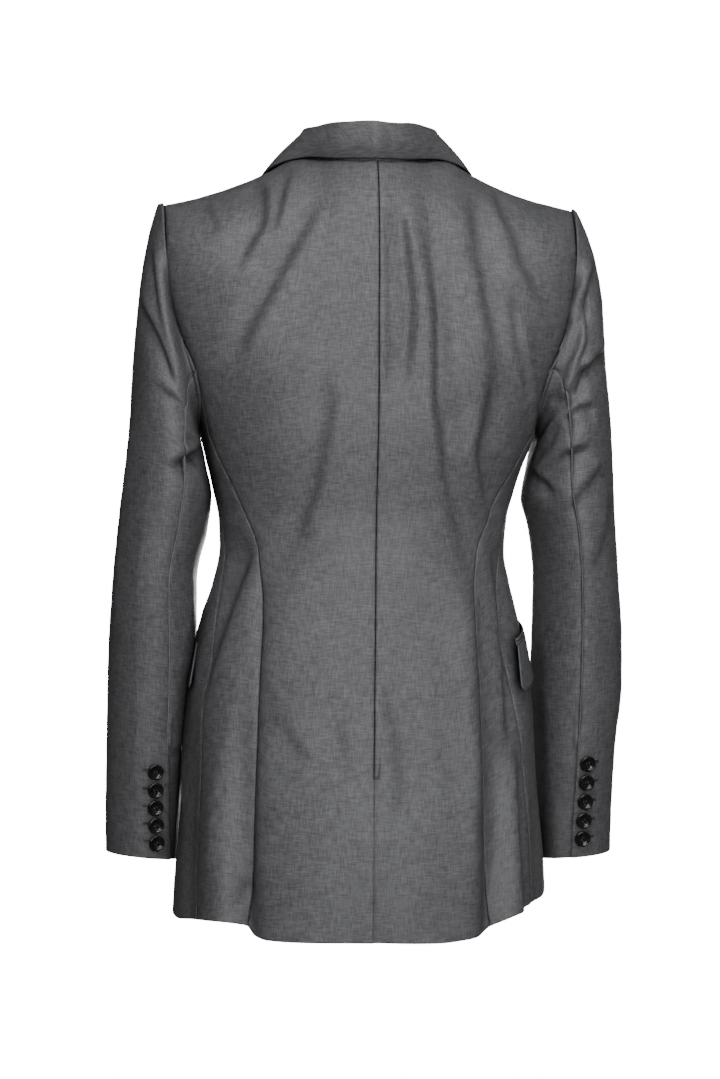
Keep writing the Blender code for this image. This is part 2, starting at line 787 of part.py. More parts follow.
def collar_rows():
    """The neck, fold and edge points of each row of the table."""
    neck, edge = [], []
    for neck_x, neck_level, _, _, _, edge_x, edge_level, behind in zip(*COLLAR.values()):
        for points, x, level, out in (
            (neck, neck_x, neck_level, 0.0),
            (edge, edge_x, edge_level, COLLAR_LIE + DOUBLE_CLOTH),
        ):
            angle = angle_at(x, min(level, ROLL), bool(behind))
            points.append(body_point(angle, level, LEFT, out))
    fold = np.stack([COLLAR["fold_x"], COLLAR["fold_y"], COLLAR["fold_z"]], axis=-1)
    neck, edge = np.array(neck), np.array(edge)
    inward = (neck - edge) * (1, 1, 0)
    inward /= np.linalg.norm(inward, axis=1)[:, None]
    neck = neck + inward * NECK_CLEAR[0] + np.array([0, 0, NECK_CLEAR[1]])
    return neck, fold, edge, -inward


def collar(columns=17):
    """The collar in one piece, from one lapel round the back of the neck to the other."""
    neck, fold, edge, away = (
        [smooth(np.arange(len(points)), values) for values in points.T]
        for points in collar_rows()
    )
    last = len(COLLAR["neck_x"]) - 1

    def at(curves, row):
        return np.stack([curve(row) for curve in curves], axis=-1)

    def strip(reach, place):
        turn = np.linspace(-reach, reach, columns)
        points = place(np.abs(turn))
        points[:, 0] *= np.sign(turn)
        return points

    grid = [strip(last, lambda row: at(neck, row))]
    grid.append(strip(last, lambda row: 0.5 * at(neck, row) + 0.5 * at(fold, row)))
    for out, up in COLLAR_FOLD:
        step = np.array([0, 0, up])
        grid.append(strip(last, lambda row: at(fold, row) + out * at(away, row) + step))
    for share in COLLAR_FALL:
        start, _ = COLLAR_FOLD[-1]
        bulge = start * (1 - share) + COLLAR_BULGE * np.sin(np.pi * share)
        reach = last - COLLAR_TIP_BACK * ramp(share, COLLAR_NOTCH, 1)
        grid.append(
            strip(
                reach,
                lambda row: at(fold, row) * (1 - share)
                + at(edge, row) * share
                + bulge * at(away, row),
            )
        )
    return cloth("collar", np.array(grid), COLLAR_HEART, DOUBLE_CLOTH)


# --------------------------------------------------------------------------------------
# Pockets
# --------------------------------------------------------------------------------------

POCKET_START = {LEFT: 84.0, RIGHT: 70.0}  # the angle where the slanted pocket's mouth starts
POCKET_SPAN = 50.0  # the degrees it runs on towards the front
POCKET_LEVELS = (-438.0, -404.0)
FLAP_DEPTH = 42.0
FLAP_LEAN = 4.0  # degrees that the flap's free edge runs on past the mouth's ends
WELT_HEIGHT = 6.0


def pocket_piece(name, side, top, depth, lean, columns=8, rows=3):
    """A strip along the pocket's mouth, depth deep, that lies on the front."""
    shares, downs = np.linspace(0, 1, columns), np.linspace(0, 1, rows)
    low, high = POCKET_LEVELS
    grid = []
    for down in downs:
        angles = POCKET_START[side] + POCKET_SPAN * shares - lean * down
        levels = low + (high - low) * shares - top - depth * down
        grid.append(body_point(angles, levels, side, LIE_GAP + CLOTH))
    return cloth(f"{name}_{side_name(side)}", np.array(grid))


def pocket(side):
    pocket_piece("pocket_welt", side, 0.0, WELT_HEIGHT, 0.0, rows=2)
    pocket_piece("pocket_flap", side, WELT_HEIGHT + SEAM_GAP, FLAP_DEPTH, FLAP_LEAN)


# --------------------------------------------------------------------------------------
# Buttons
# --------------------------------------------------------------------------------------

CUFF_BUTTONS = {
    LEFT: table(
        "ring off_seam",
        [(11.42, -20), (11.75, -21), (12.07, -22), (12.39, -22.5), (12.71, -23)],
    ),
    RIGHT: table(
        "ring off_seam",
        [(11.27, -14), (11.61, -14), (11.96, -14), (12.31, -14), (12.65, -14)],
    ),
}
CUFF_BUTTON_RADIUS = 7.5
FRONT_BUTTON_RADIUS = 11.0
FRONT_BUTTON_HEIGHT = -345.0
CUFF_BUTTON_CLEAR = 0.75  # from the smooth cloth to the button's flat back
FRONT_BUTTON_CLEAR = 0.9
BUTTON_PROFILE = [(1.0, 0.30), (1.0, 0.18), (0.86, 0.0)]


def button(name, radius, seat, outward):
    """A button turned from a profile, with its back at seat and its face looking outward."""
    profile = [(0, 0.30), (0.60, 0.30), (0.70, 0.42), (0.90, 0.42)] + BUTTON_PROFILE + [(0, 0)]
    mesh = bpy.data.meshes.new(name)
    points = [(across * radius * MM, 0, up * radius * MM) for across, up in profile]
    mesh.from_pydata(points, [(i, i + 1) for i in range(len(points) - 1)], [])
    obj = add_object(name, mesh, "button")
    turned = obj.modifiers.new("turned", "SCREW")
    turned.steps = turned.render_steps = 24
    turned.use_merge_vertices = True
    turned.merge_threshold = 1e-5
    turned.use_smooth_shade = True
    obj.location = Vector(seat) * MM
    obj.rotation_euler = Vector(outward).to_track_quat("Z", "Y").to_euler()
    return obj


def surface_frame(point_at, first, second, step=0.01):
    """The point and the outward direction of a surface at two coordinates."""
    here = point_at(first, second, 0.0)
    along = point_at(first + step, second, 0.0) - here
    up = point_at(first, second + step, 0.0) - here
    outward = np.cross(along, up)
    outward *= np.sign(outward @ (point_at(first, second, 1.0) - here))
    return here, outward / np.linalg.norm(outward)


def cuff_buttons(side):
    for number, (ring, off_seam) in enumerate(zip(*CUFF_BUTTONS[side].values()), 1):
        angle = sleeve_seam[side](ring) + off_seam
        here, outward = surface_frame(
            lambda a, r, out: sleeve_point(a, r, side, out), angle, ring
        )
        seat = here + outward * CUFF_BUTTON_CLEAR
        button(f"cuff_button_{side_name(side)}_{number}", CUFF_BUTTON_RADIUS, seat, outward)


def front_button():
    angle = angle_at(0.0, FRONT_BUTTON_HEIGHT, False)
    here, outward = surface_frame(
        lambda a, level, out: body_point(a, level, RIGHT, out), angle, FRONT_BUTTON_HEIGHT
    )
    seat = here + outward * FRONT_BUTTON_CLEAR
    button("front_button", FRONT_BUTTON_RADIUS, seat, outward)


collection = bpy.data.collections.new("blazer")


def clear_scene():
    for obj in list(bpy.data.objects):
        bpy.data.objects.remove(obj)
    bpy.context.scene.collection.children.link(collection)


def main():
    clear_scene()
    for side in (LEFT, RIGHT):
        back_panel(side)
        side_panel(side)
        front_panel(side)
        top_sleeve(side)
        under_sleeve(side)
        cuff_buttons(side)
        lapel(side)
        pocket(side)
    collar()
    front_button()


main()
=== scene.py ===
"""A woman's single-breasted suiting blazer, filled out as it hangs on a wearer who is not there.

+Z is up, the wearer faces -Y and the wearer's left is +X. The origin is the middle of the neck
opening. Sizes are in millimetres, and MM turns them into Blender's metres.
"""

import bpy
import numpy as np
from mathutils import Matrix, Vector


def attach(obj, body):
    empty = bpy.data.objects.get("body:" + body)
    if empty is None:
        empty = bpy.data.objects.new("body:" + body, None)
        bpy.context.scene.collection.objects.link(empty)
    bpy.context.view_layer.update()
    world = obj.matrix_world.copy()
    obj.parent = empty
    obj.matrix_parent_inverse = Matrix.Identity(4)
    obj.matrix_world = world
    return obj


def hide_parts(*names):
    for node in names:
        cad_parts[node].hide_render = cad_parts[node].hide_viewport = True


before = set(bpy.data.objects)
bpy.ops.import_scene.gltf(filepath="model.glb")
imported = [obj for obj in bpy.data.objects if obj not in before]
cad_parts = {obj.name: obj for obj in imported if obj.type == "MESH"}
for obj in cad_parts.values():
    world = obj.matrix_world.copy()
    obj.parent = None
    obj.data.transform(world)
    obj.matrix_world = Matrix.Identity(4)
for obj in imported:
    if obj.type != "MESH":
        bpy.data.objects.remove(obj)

MM = 0.001
LEFT, RIGHT = 1, -1  # the wearer's side, as the sign of x
SIDES = {LEFT: "left", RIGHT: "right"}
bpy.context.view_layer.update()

# --------------------------------------------------------------------------------------
# The view. The blazer is seen from behind, a little from the wearer's left, level with
# its waist and from three metres, so that the shoulders and the hem are seen square on.
# --------------------------------------------------------------------------------------

CAMERA_TURN = 175.0  # degrees round the blazer from the front
CAMERA_FAR = 3000.0
CAMERA_HEIGHT = -348.3
CAMERA_ASIDE = 6.0
CAMERA_ROLL = 0.35
VIEW_HEIGHT = 998.0  # what the frame takes in at the blazer's middle

turn = np.radians(CAMERA_TURN)
camera = bpy.data.cameras.new("camera")
camera.sensor_fit = "VERTICAL"
camera.angle = 2 * float(np.arctan(VIEW_HEIGHT / 2 / CAMERA_FAR))
camera_stand = bpy.data.objects.new("camera", camera)
aside = CAMERA_ASIDE * Vector((-np.cos(turn), -np.sin(turn), 0))
away = Vector((np.sin(turn), -np.cos(turn), 0))
camera_stand.location = (CAMERA_FAR * away + aside + Vector((0, 0, CAMERA_HEIGHT))) * MM
facing = (-away).to_track_quat("-Z", "Y").to_euler()
facing.rotate_axis("Z", np.radians(CAMERA_ROLL))
camera_stand.rotation_euler = facing
bpy.context.scene.collection.objects.link(camera_stand)
bpy.context.scene.camera = camera_stand


# --------------------------------------------------------------------------------------
# The suiting. A light tropical cloth of worsted wool and mohair in plain weave, spun from
# dark and pale fibres together, so that every thread differs a little in shade and width.
# --------------------------------------------------------------------------------------

def linear(colour):
    """An sRGB hex colour as linear red, green, blue and alpha."""
    channels = [int(colour[i : i + 2], 16) / 255 for i in (1, 3, 5)]
    return [c / 12.92 if c <= 0.04045 else ((c + 0.055) / 1.055) ** 2.4 for c in channels] + [1.0]


def add(tree, kind, inputs=(), **settings):
    """Adds a node with its settings, and with its inputs set or linked."""
    made = tree.nodes.new(kind)
    for name, value in settings.items():
        setattr(made, name, value)
    for name, value in dict(inputs).items():
        if isinstance(value, bpy.types.NodeSocket):
            tree.links.new(value, made.inputs[name])
        else:
            made.inputs[name].default_value = value
    return made


def new_material(name):
    made = bpy.data.materials.new(name)
    made.use_nodes = True
    return made, made.node_tree, made.node_tree.nodes["Principled BSDF"]


DARK_YARN = "#454547"
PALE_YARN = "#77777a"
# The real cloth has about 25 threads to the centimetre. They are drawn less than half as
# fine, at the size where they still show as a soft mixture of streaks.
THREAD = 0.0009  # metres from thread to thread
FLECK = 0.012  # metres that a thread keeps its shade
SLUB_THREAD = 0.0010  # the same for the thicker threads, which keep theirs for longer
SLUB = 0.042
CLOUD = 0.06  # metres across the faint patches where the dye or the press took differently
# How much each of them shows, and their sum where the cloth is all dark or all pale.
WARP, WEFT, WARP_SLUB, WEFT_SLUB, CLOUDING = 1.1, 1.1, 0.5, 0.6, 0.3
ALL_DARK, ALL_PALE = 1.25, 2.45


def threads(tree, across, along, width, length, seed):
    """Threads side by side, each with its own run of paler and darker lengths, from 0 to 1."""
    number = add(tree, "ShaderNodeMath", {0: across, 1: 1 / width}, operation="MULTIPLY")
    number = add(tree, "ShaderNodeMath", {0: number.outputs[0]}, operation="FLOOR").outputs[0]
    own = add(tree, "ShaderNodeTexWhiteNoise", {"W": number}, noise_dimensions="1D")
    start = add(
        tree, "ShaderNodeMath", {0: own.outputs["Value"], 1: 400.0, 2: seed}, operation="MULTIPLY_ADD"
    ).outputs[0]
    place = add(
        tree, "ShaderNodeMath", {0: along, 1: 1 / length, 2: start}, operation="MULTIPLY_ADD"
    ).outputs[0]
    noise = add(
        tree,
        "ShaderNodeTexNoise",
        {"W": place, "Scale": 1.0, "Detail": 1.5, "Roughness": 0.6},
        noise_dimensions="1D",
    )
    return noise.outputs["Fac"]


def weighed(tree, parts):
    """The sum of values, each times its weight."""
    total = 0.0
    for value, weight in parts:
        total = add(
            tree, "ShaderNodeMath", {0: value, 1: weight, 2: total}, operation="MULTIPLY_ADD"
        ).outputs[0]
    return total


def blend(tree, share, dark, pale):
    """A colour between two, by a share from 0 to 1."""
    mixed = add(tree, "ShaderNodeMix", {"Factor": share}, data_type="RGBA")
    mixed.inputs[6].default_value = linear(dark)
    mixed.inputs[7].default_value = linear(pale)
    return mixed.outputs[2]


def suiting(name, dark, pale):
    """Worsted suiting: its soft gloss is brightest where it faces the light, and it falls off to
    dark where the cloth turns away, which is what makes creases in it show. Its colour also
    carries painted shade, darker down in creases and seams."""
    made, tree, shader = new_material(name)
    uv = add(tree, "ShaderNodeUVMap", uv_map="weave").outputs["UV"]
    apart = add(tree, "ShaderNodeSeparateXYZ", {"Vector": uv}).outputs
    across, along = apart["X"], apart["Y"]
    cloud = add(
        tree,
        "ShaderNodeTexNoise",
        {"Vector": uv, "Scale": 1 / CLOUD, "Detail": 2.0},
        noise_dimensions="2D",
    ).outputs["Fac"]
    woven = weighed(
        tree,
        [
            (threads(tree, across, along, THREAD, FLECK, 3.0), WARP),
            (threads(tree, along, across, THREAD, FLECK, 61.0), WEFT),
            (threads(tree, across, along, SLUB_THREAD, SLUB, 17.0), WARP_SLUB),
            (threads(tree, along, across, SLUB_THREAD, SLUB, 113.0), WEFT_SLUB),
        ],
    )
    total = weighed(tree, [(woven, 1.0), (cloud, CLOUDING)])
    shade = add(
        tree, "ShaderNodeMapRange", {"Value": total, "From Min": ALL_DARK, "From Max": ALL_PALE}
    ).outputs["Result"]
    blended = blend(tree, shade, dark, pale)
    # Painted shade: an ambient occlusion node darkens the cloth's colour down in creases and seams and
    # where pieces lie close together.
    crease_shaded_colour = add(
        tree, "ShaderNodeAmbientOcclusion", {"Color": blended, "Distance": 0.016}, samples=8
    ).outputs["Color"]
    tree.links.new(crease_shaded_colour, shader.inputs["Base Color"])
    bump = add(tree, "ShaderNodeBump", {"Height": woven, "Strength": 0.25, "Distance": 0.0001})
    tree.links.new(bump.outputs["Normal"], shader.inputs["Normal"])
    shader.inputs["Roughness"].default_value = 0.56
    shader.inputs["IOR"].default_value = 1.5
    shader.inputs["Specular IOR Level"].default_value = 0.65
    return made


cloth_material = suiting("worsted_suiting", DARK_YARN, PALE_YARN)


# --------------------------------------------------------------------------------------
# The back. Two panels of suiting joined by a centre seam, with a vent below it where the
# left panel laps over the right. The waist is drawn in by the seams and the skirt flares.
# --------------------------------------------------------------------------------------

def table(names, rows):
    """A table with named columns, one row for each section."""
    return dict(zip(names.split(), np.array(rows, float).T))


def smooth(xs, ys):
    """A smooth function through points that never overshoots them."""
    order = np.argsort(xs)
    xs, ys = np.asarray(xs, float)[order], np.asarray(ys, float)[order]
    step = np.diff(xs)
    rise = np.diff(ys) / step
    slope = np.concatenate([rise[:1], np.zeros(len(xs) - 2), rise[-1:]])
    for i in range(1, len(xs) - 1):
        if rise[i - 1] * rise[i] > 0:
            before, after = 2 * step[i] + step[i - 1], step[i] + 2 * step[i - 1]
            slope[i] = (before + after) / (before / rise[i - 1] + after / rise[i])

    def value(x):
        x = np.clip(x, xs[0], xs[-1])
        i = np.clip(np.searchsorted(xs, x, side="right") - 1, 0, len(step) - 1)
        t = (x - xs[i]) / step[i]
        bend = step[i] * t * (1 - t) * ((1 - t) * slope[i] - t * slope[i + 1])
        return ys[i] + (ys[i + 1] - ys[i]) * t * t * (3 - 2 * t) + bend

    return value


def curves(columns, along, names):
    """A smooth function for each name, which is one of a table's columns."""
    return {key: smooth(columns[along], columns[name]) for key, name in names.items()}


def ramp(x, start, end):
    """0 before start, 1 after end, and smooth between them."""
    t = np.clip((x - start) / (end - start), 0, 1)
    return t * t * (3 - 2 * t)


HEM = -706.0  # height of the hem at the centre back
BACK_ARMHOLE = -217.0  # height where the back seam runs into the armhole
ROLL = -92.0  # from this height up to 0 a level is a step of the shoulder's roll, not a height
ROLL_START = 20.0  # how far the cloth leans, in degrees, where the roll starts
LEAN_FROM = -150.0  # the cloth starts to lean here
RISE_FROM = -118.0  # from here up the rings bend to meet the roll

RINGS = table(
    "height half_width back front back_power front_power",
    [
        (-706, 169.0, 127, 117, 2.40, 2.35),
        (-660, 167.0, 127, 117, 2.40, 2.35),
        (-614, 164.5, 125, 115, 2.40, 2.35),
        (-568, 162.0, 121, 113, 2.40, 2.35),
        (-522, 160.0, 115, 110, 2.38, 2.35),
        (-476, 156.0, 108, 106, 2.36, 2.33),
        (-441, 150.0, 101, 103, 2.34, 2.30),
        (-415, 144.5, 96, 101, 2.32, 2.30),
        (-388, 137.5, 91, 98, 2.30, 2.30),
        (-357, 131.5, 88, 97, 2.30, 2.30),
        (-330, 133.0, 89, 101, 2.32, 2.30),
        (-302, 139.5, 93, 109, 2.38, 2.32),
        (-278, 146.0, 97, 116, 2.46, 2.36),
        (-248, 154.5, 101, 121, 2.55, 2.42),
        (-217, 168.0, 103, 124, 2.60, 2.45),
        (-191, 180.0, 104, 123, 2.65, 2.45),
        (-165, 188.0, 104, 118, 2.70, 2.50),
        (-140, 192.5, 102, 110, 2.74, 2.60),
        (-115, 195.5, 98, 100, 2.78, 2.70),
        (-92, 197.5, 90, 90, 2.80, 2.80),
    ],
)
half_width = smooth(RINGS["height"], RINGS["half_width"])
# Both are told apart by whether a point lies behind the middle (True) or in front of it.
DEPTH = curves(RINGS, "height", {True: "back", False: "front"})
POWER = curves(RINGS, "height", {True: "back_power", False: "front_power"})

# The shoulder line from the middle of the neck out to the sleeve: its height, how far it reaches
# down before the cloth hangs straight, and how far forward the shoulder seam lies.
SHOULDER = table(
    "x ridge drop seam_y",
    [
        (0, 27.5, 86, 6),
        (30, 17.5, 88, 6),
        (50, 7.0, 90, 6),
        (66, 4, 90, 6),
        (96, -12, 84, 4),
        (116, -21, 76, 2),
        (135, -28, 68, 0),
        (163, -36, 58, -2),
        (181, -40, 50, -3),
        (198, -42.5, 46, -4),
    ],
)
ridge = smooth(SHOULDER["x"], SHOULDER["ridge"])
drop = smooth(SHOULDER["x"], SHOULDER["drop"])
seam_y = smooth(SHOULDER["x"], SHOULDER["seam_y"])
NECK_X = 66.0  # where the shoulder seam meets the neck
NECK_LEAN = 50.0  # how far, in degrees, the cloth has rolled at the centre back neck

# The hem's height above HEM round the body: it climbs towards the sides and the fronts.
HEM_RISE = table(
    "angle left right",
    [
        (0, 0, 0),
        (25, 0, -1),
        (38, 1, 2),
        (45, 4, 6),
        (49, 13, 12),
        (57, 16, 22),
        (70, 14, 28),
        (85, 11, 33),
        (95, 12, 46),
        (110, 14, 44),
        (150, 18, 24),
        (190, 18, 18),
    ],
)
HEM_RISE_ENDS = -560.0
hem_rise = curves(HEM_RISE, "angle", SIDES)

# The flares below the waist: where each fold runs, from which height, how far out (+) or in (-)
# it stands at the hem, and half its width in degrees.
FLARES = table(
    "angle_at_waist angle_at_hem starts out width",
    [
        (57, 47, -372, -9.0, 5.0),
        (66, 57, -385, 6.0, 7.0),
        (80, 72, -400, -4.0, 6.0),
        (100, 96, -420, 4.0, 12.0),
        (140, 132, -430, -5.0, 9.0),
    ],
)
FLARE_TOP = -357.0
# The body below the shoulders hangs a little towards the wearer's left.
SWAY = 4.2
SWAY_LEVELS = (-380, -150)


def ring_point(angle, height):
    """A point of a ring, as x and y, in the direction of an angle from the centre back."""
    sine, cosine = np.sin(np.radians(angle)), np.cos(np.radians(angle))
    power = np.where(cosine >= 0, POWER[True](height), POWER[False](height))
    depth = np.where(cosine >= 0, DEPTH[True](height), DEPTH[False](height))
    reach = (np.abs(sine) / half_width(height)) ** power + (np.abs(cosine) / depth) ** power
    radius = reach ** (-1 / power)
    return radius * sine, radius * cosine


def angle_at(x, height, behind):
    """The angle of the point of a ring that is x from the middle, behind or in front."""
    power, wide = POWER[behind](height), half_width(height)
    share = np.clip(1 - np.clip(np.abs(x) / wide, 0, 1) ** power, 0, 1)
    turn = np.degrees(np.arctan2(x, DEPTH[behind](height) * share ** (1 / power)))
    return turn if behind else 180 - turn


def angle_of_depth(y, height):
    """The angle of the point of a ring that is y behind the middle, or in front of it."""
    behind = np.asarray(y) >= 0
    power = np.where(behind, POWER[True](height), POWER[False](height))
    depth = np.where(behind, DEPTH[True](height), DEPTH[False](height))
    x = half_width(height) * (1 - (np.abs(y) / depth) ** power) ** (1 / power)
    return np.degrees(np.arctan2(x, y))


def flare(angle, height):
    """How far the folds below the waist push the cloth out at a point."""
    low = np.clip((FLARE_TOP - height) / (FLARE_TOP - HEM), 0, 1)
    total = np.zeros(np.broadcast(angle, height).shape)
    for at_waist, at_hem, starts, out, width in zip(*FLARES.values()):
        middle = at_waist + (at_hem - at_waist) * low
        grown = ramp(-height, -starts, -HEM)
        total += out * grown * np.exp(-(((angle - middle) / width) ** 2))
    return total


def sway(z):
    return SWAY * (1 - ramp(z, *SWAY_LEVELS))


def body_point(angle, level, side=LEFT, out=0.0):
    """A point of the body's outer face at an angle and level, moved out from it by out."""
    angle, level = np.broadcast_arrays(np.asarray(angle, float), np.asarray(level, float))
    height = np.minimum(level, ROLL)
    x, y = ring_point(angle, height)
    nx = np.sign(x) * np.abs(x) / half_width(height) ** 2
    ny = y / np.where(y > 0, DEPTH[True](height), DEPTH[False](height)) ** 2
    size = np.hypot(nx, ny)
    nx, ny = nx / size, ny / size
    push = flare(angle, height)
    x, y = x + push * nx, y + push * ny
    rise = hem_rise[side](angle) * (1 - ramp(height, HEM, HEM_RISE_ENDS))
    across = np.abs(x)
    start = ridge(across) - drop(across)
    hung = height + rise + (start - ROLL) * ramp(level, RISE_FROM, ROLL)
    lean = lean_at(x, y, level)
    y_rolled, z_rolled = rolled(across, y, lean)
    on_roll = level > ROLL
    low_lean = ROLL_START * ramp(level, LEAN_FROM, ROLL)
    lean = np.where(on_roll, lean, low_lean)
    y = np.where(on_roll, y_rolled, y) + out * ny * np.cos(np.radians(lean))
    z = np.where(on_roll, z_rolled, hung) + out * np.sin(np.radians(lean))
    x = side * (x + out * nx * np.cos(np.radians(lean))) + sway(z)
    return np.stack([x, y, z], axis=-1)


def lean_at(x, y, level):
    """How far, in degrees, the shoulder has rolled over at a level. The neck stops it short."""
    share = np.clip(1 - level / ROLL, 0, 1)
    neck = NECK_LEAN + (90 - NECK_LEAN) * np.clip(np.abs(x) / NECK_X, 0, 1) ** 2
    end = np.where(y > 0, neck, 90)
    return ROLL_START + (end - ROLL_START) * share


def rolled(across, y, lean):
    """Depth and height of the cloth where the shoulder has rolled over by lean degrees."""
    start, lean = np.radians(ROLL_START), np.radians(lean)
    shrink = np.cos(lean) / np.cos(start)
    y_there = seam_y(across) + (y - seam_y(across)) * shrink
    z_there = ridge(across) - drop(across) * (1 - np.sin(lean)) / (1 - np.sin(start))
    return y_there, z_there


# The centre back seam has been pulled towards the wearer's right at the waist.
CENTRE_SEAM = table(
    "height x",
    [(-706, 0.5), (-600, 1), (-480, 3), (-363, 5), (-250, 3), (-150, 1), (-92, 2), (0, 2.5)],
)
centre_seam_x = smooth(CENTRE_SEAM["height"], CENTRE_SEAM["x"])

# The seam between back and side panel runs from the armhole in to the waist and out to the hem.
BACK_SEAM = table(
    "height x",
    [
        (-706, 115),
        (-648, 111),
        (-588, 108),
        (-529, 104.5),
        (-469, 101),
        (-420, 98),
        (-395, 97.5),
        (-375, 98.5),
        (-358, 101),
        (-340, 106),
        (-322, 114),
        (-295, 127),
        (-274, 138),
        (-248, 149),
        (-217, 155.8),
    ],
)
back_seam_x = smooth(BACK_SEAM["height"], BACK_SEAM["x"])

# The side seam hangs further round to the back on the right than on the left.
SIDE_SEAM = table(
    "height left right",
    [
        (-706, 68, 69),
        (-640, 68.5, 69),
        (-560, 69.5, 68),
        (-500, 71.5, 66.5),
        (-450, 74, 66),
        (-400, 77, 70),
        (-357, 80, 75),
        (-248, 90, 90),
    ],
)
side_seam = curves(SIDE_SEAM, "height", SIDES)

# The armhole's edge, by level: how deep it lies behind (back) and in front of (front) the middle.
ARMHOLE = table(
    "level back front",
    [
        (-248, 0, 0),
        (-246.5, 14, -13),
        (-242, 28, -25),
        (-234, 40, -37),
        (-226, 48, -45),
        (-217, 53, -51),
        (-204, 58, -56),
        (-191, 60, -58),
        (-168, 56, -57),
        (-145, 50, -52),
        (-118, 45, -43),
        (-92, 42, -36),
    ],
)
armhole_y = curves(ARMHOLE, "level", {True: "back", False: "front"})


def armhole_angle(level, behind):
    height = np.minimum(level, ROLL)
    return angle_of_depth(armhole_y[behind](height), height)


def back_seam_angle(level):
    return angle_at(back_seam_x(level), level, True)


# The front edge, as x past the middle (-) or short of it (+): rounded at the hem, straight up to
# the break of the lapel, and then the line along which the lapel rolls back to the neck.
FRONT_EDGE = table(
    "height x",
    [
        (-706, 26),
        (-702, 12),
        (-694, 0),
        (-682, -10),
        (-662, -17),
        (-630, -20),
        (-345, -20),
        (-330, -18.5),
        (-300, -11),
        (-200, 15),
        (-100, 41.5),
        (-92, 43.5),
        (-60, 52),
        (-35, 58),
        (0, 66),
    ],
)
front_edge_x = smooth(FRONT_EDGE["height"], FRONT_EDGE["x"])


def front_edge_angle(level):
    return angle_at(front_edge_x(level), np.minimum(level, ROLL), False)


# A seam, in section: how far in from the seam's line the cloth's face lies, and how far it has
# Darker and paler spots at random, about half a millimetre across, painted in as shade between the
# twisted thread's strands.
SEAM = table(
    "aside sunk",
    [(0, 4.6), (0.12, 3.0), (0.24, 1.2), (0.55, 0.7), (1.2, 0.42), (2.6, 0.2), (4.2, 0.05)],
)
# An edge where the cloth is folded back, pressed flat.
FOLDED_EDGE = table("aside sunk", [(0, 0.25), (0.5, 0.06), (1.3, 0)])
CUT = table("aside sunk", [(0, 0)])
WALL = 1.3  # the suiting with its interfacing, as it looks
WEAVE_START = 500.0  # keeps the cloth's own coordinates above 0, in mm like the next
WEAVE_INSIDE = 50.0  # the inner face shows another stretch of the cloth


def spread(width, step, first, last):
    """Places across a panel, in mm, from its first edge to its last, and how far each is sunk."""
    width = np.atleast_1d(np.asarray(width, float))[:, None]
    count = max(3, int(round(width.max() / step)))
    even = np.linspace(0, 1, count)[1:-1]
    start, end = first["aside"], last["aside"]
    middle = start[-1] + (width - start[-1] - end[-1]) * even
    rows = np.ones((len(width), 1))
    places = np.concatenate([rows * start, middle, width - rows * end[::-1]], axis=1)
    return places, np.concatenate([first["sunk"], 0 * even, last["sunk"][::-1]])


def unit(vectors):
    return vectors / np.maximum(np.linalg.norm(vectors, axis=-1, keepdims=True), 1e-9)


def face_of_body(angles, levels, side):
    """Points of the body's smooth face, and the way outwards there."""
    base = body_point(angles, levels, side)
    return base, unit(body_point(angles, levels, side, 1.0) - base)


def shell_of(outer, away, wall=WALL, grain=0):
    """Vertices, faces and weave coordinates of a wall of cloth whose face is a grid of points.

    The wall goes inwards, which is against away, and all its edges are rounded. The threads run
    along the column that grain says.
    """
    rows, columns = outer.shape[:2]
    across, along = np.gradient(outer, axis=1), np.gradient(outer, axis=0)
    normal = unit(np.cross(across, along))
    turned = (normal * away).sum() < 0
    if turned:
        normal = -normal
    beyond = np.zeros_like(outer)
    for edge, inside in ((0, 1), (-1, -2)):
        beyond[edge] += unit(outer[edge] - outer[inside])
        beyond[:, edge] += unit(outer[:, edge] - outer[:, inside])
    beyond = unit(beyond - normal * (beyond * normal).sum(-1, keepdims=True))
    index = np.arange(rows * columns).reshape(rows, columns)
    border = np.concatenate([index[0, :-1], index[:-1, -1], index[-1, :0:-1], index[:0:-1, 0]])
    flat = [grid.reshape(-1, 3) for grid in (outer, normal, beyond)]
    points = [flat[0], flat[0] - wall * flat[1]]
    loops = [border]
    for degrees in (45, 90, 135):
        rise, reach = np.cos(np.radians(degrees)), np.sin(np.radians(degrees))
        loops.append(sum(map(len, points)) + np.arange(len(border)))
        edge, up, out = (part[border] for part in flat)
        points.append(edge - wall / 2 * (1 - rise) * up + wall / 2 * reach * out)
    loops.append(border + rows * columns)
    a, b, c, d = index[:-1, :-1], index[:-1, 1:], index[1:, 1:], index[1:, :-1]
    face = np.stack([a, b, c, d], axis=-1).reshape(-1, 4)
    faces = [face, face[:, ::-1] + rows * columns]
    for low, high in zip(loops, loops[1:]):
        after_low, after_high = np.roll(low, -1), np.roll(high, -1)
        faces.append(np.stack([after_low, low, high, after_high], axis=-1))
    faces = np.concatenate(faces)
    u = np.cumsum(np.linalg.norm(across, axis=-1), axis=1)
    u -= u[:, grain : grain + 1] - WEAVE_START
    steps = np.linalg.norm(along, axis=-1)
    upwards = outer[-1, :, 2].mean() > outer[0, :, 2].mean()
    v = np.cumsum(steps, axis=0) if upwards else np.cumsum(steps[::-1], axis=0)[::-1]
    weave = np.stack([u, v], axis=-1).reshape(-1, 2)
    weave = np.concatenate([weave, weave + WEAVE_INSIDE] + [weave[border]] * 3)
    return np.concatenate(points), faces[:, ::-1] if turned else faces, weave


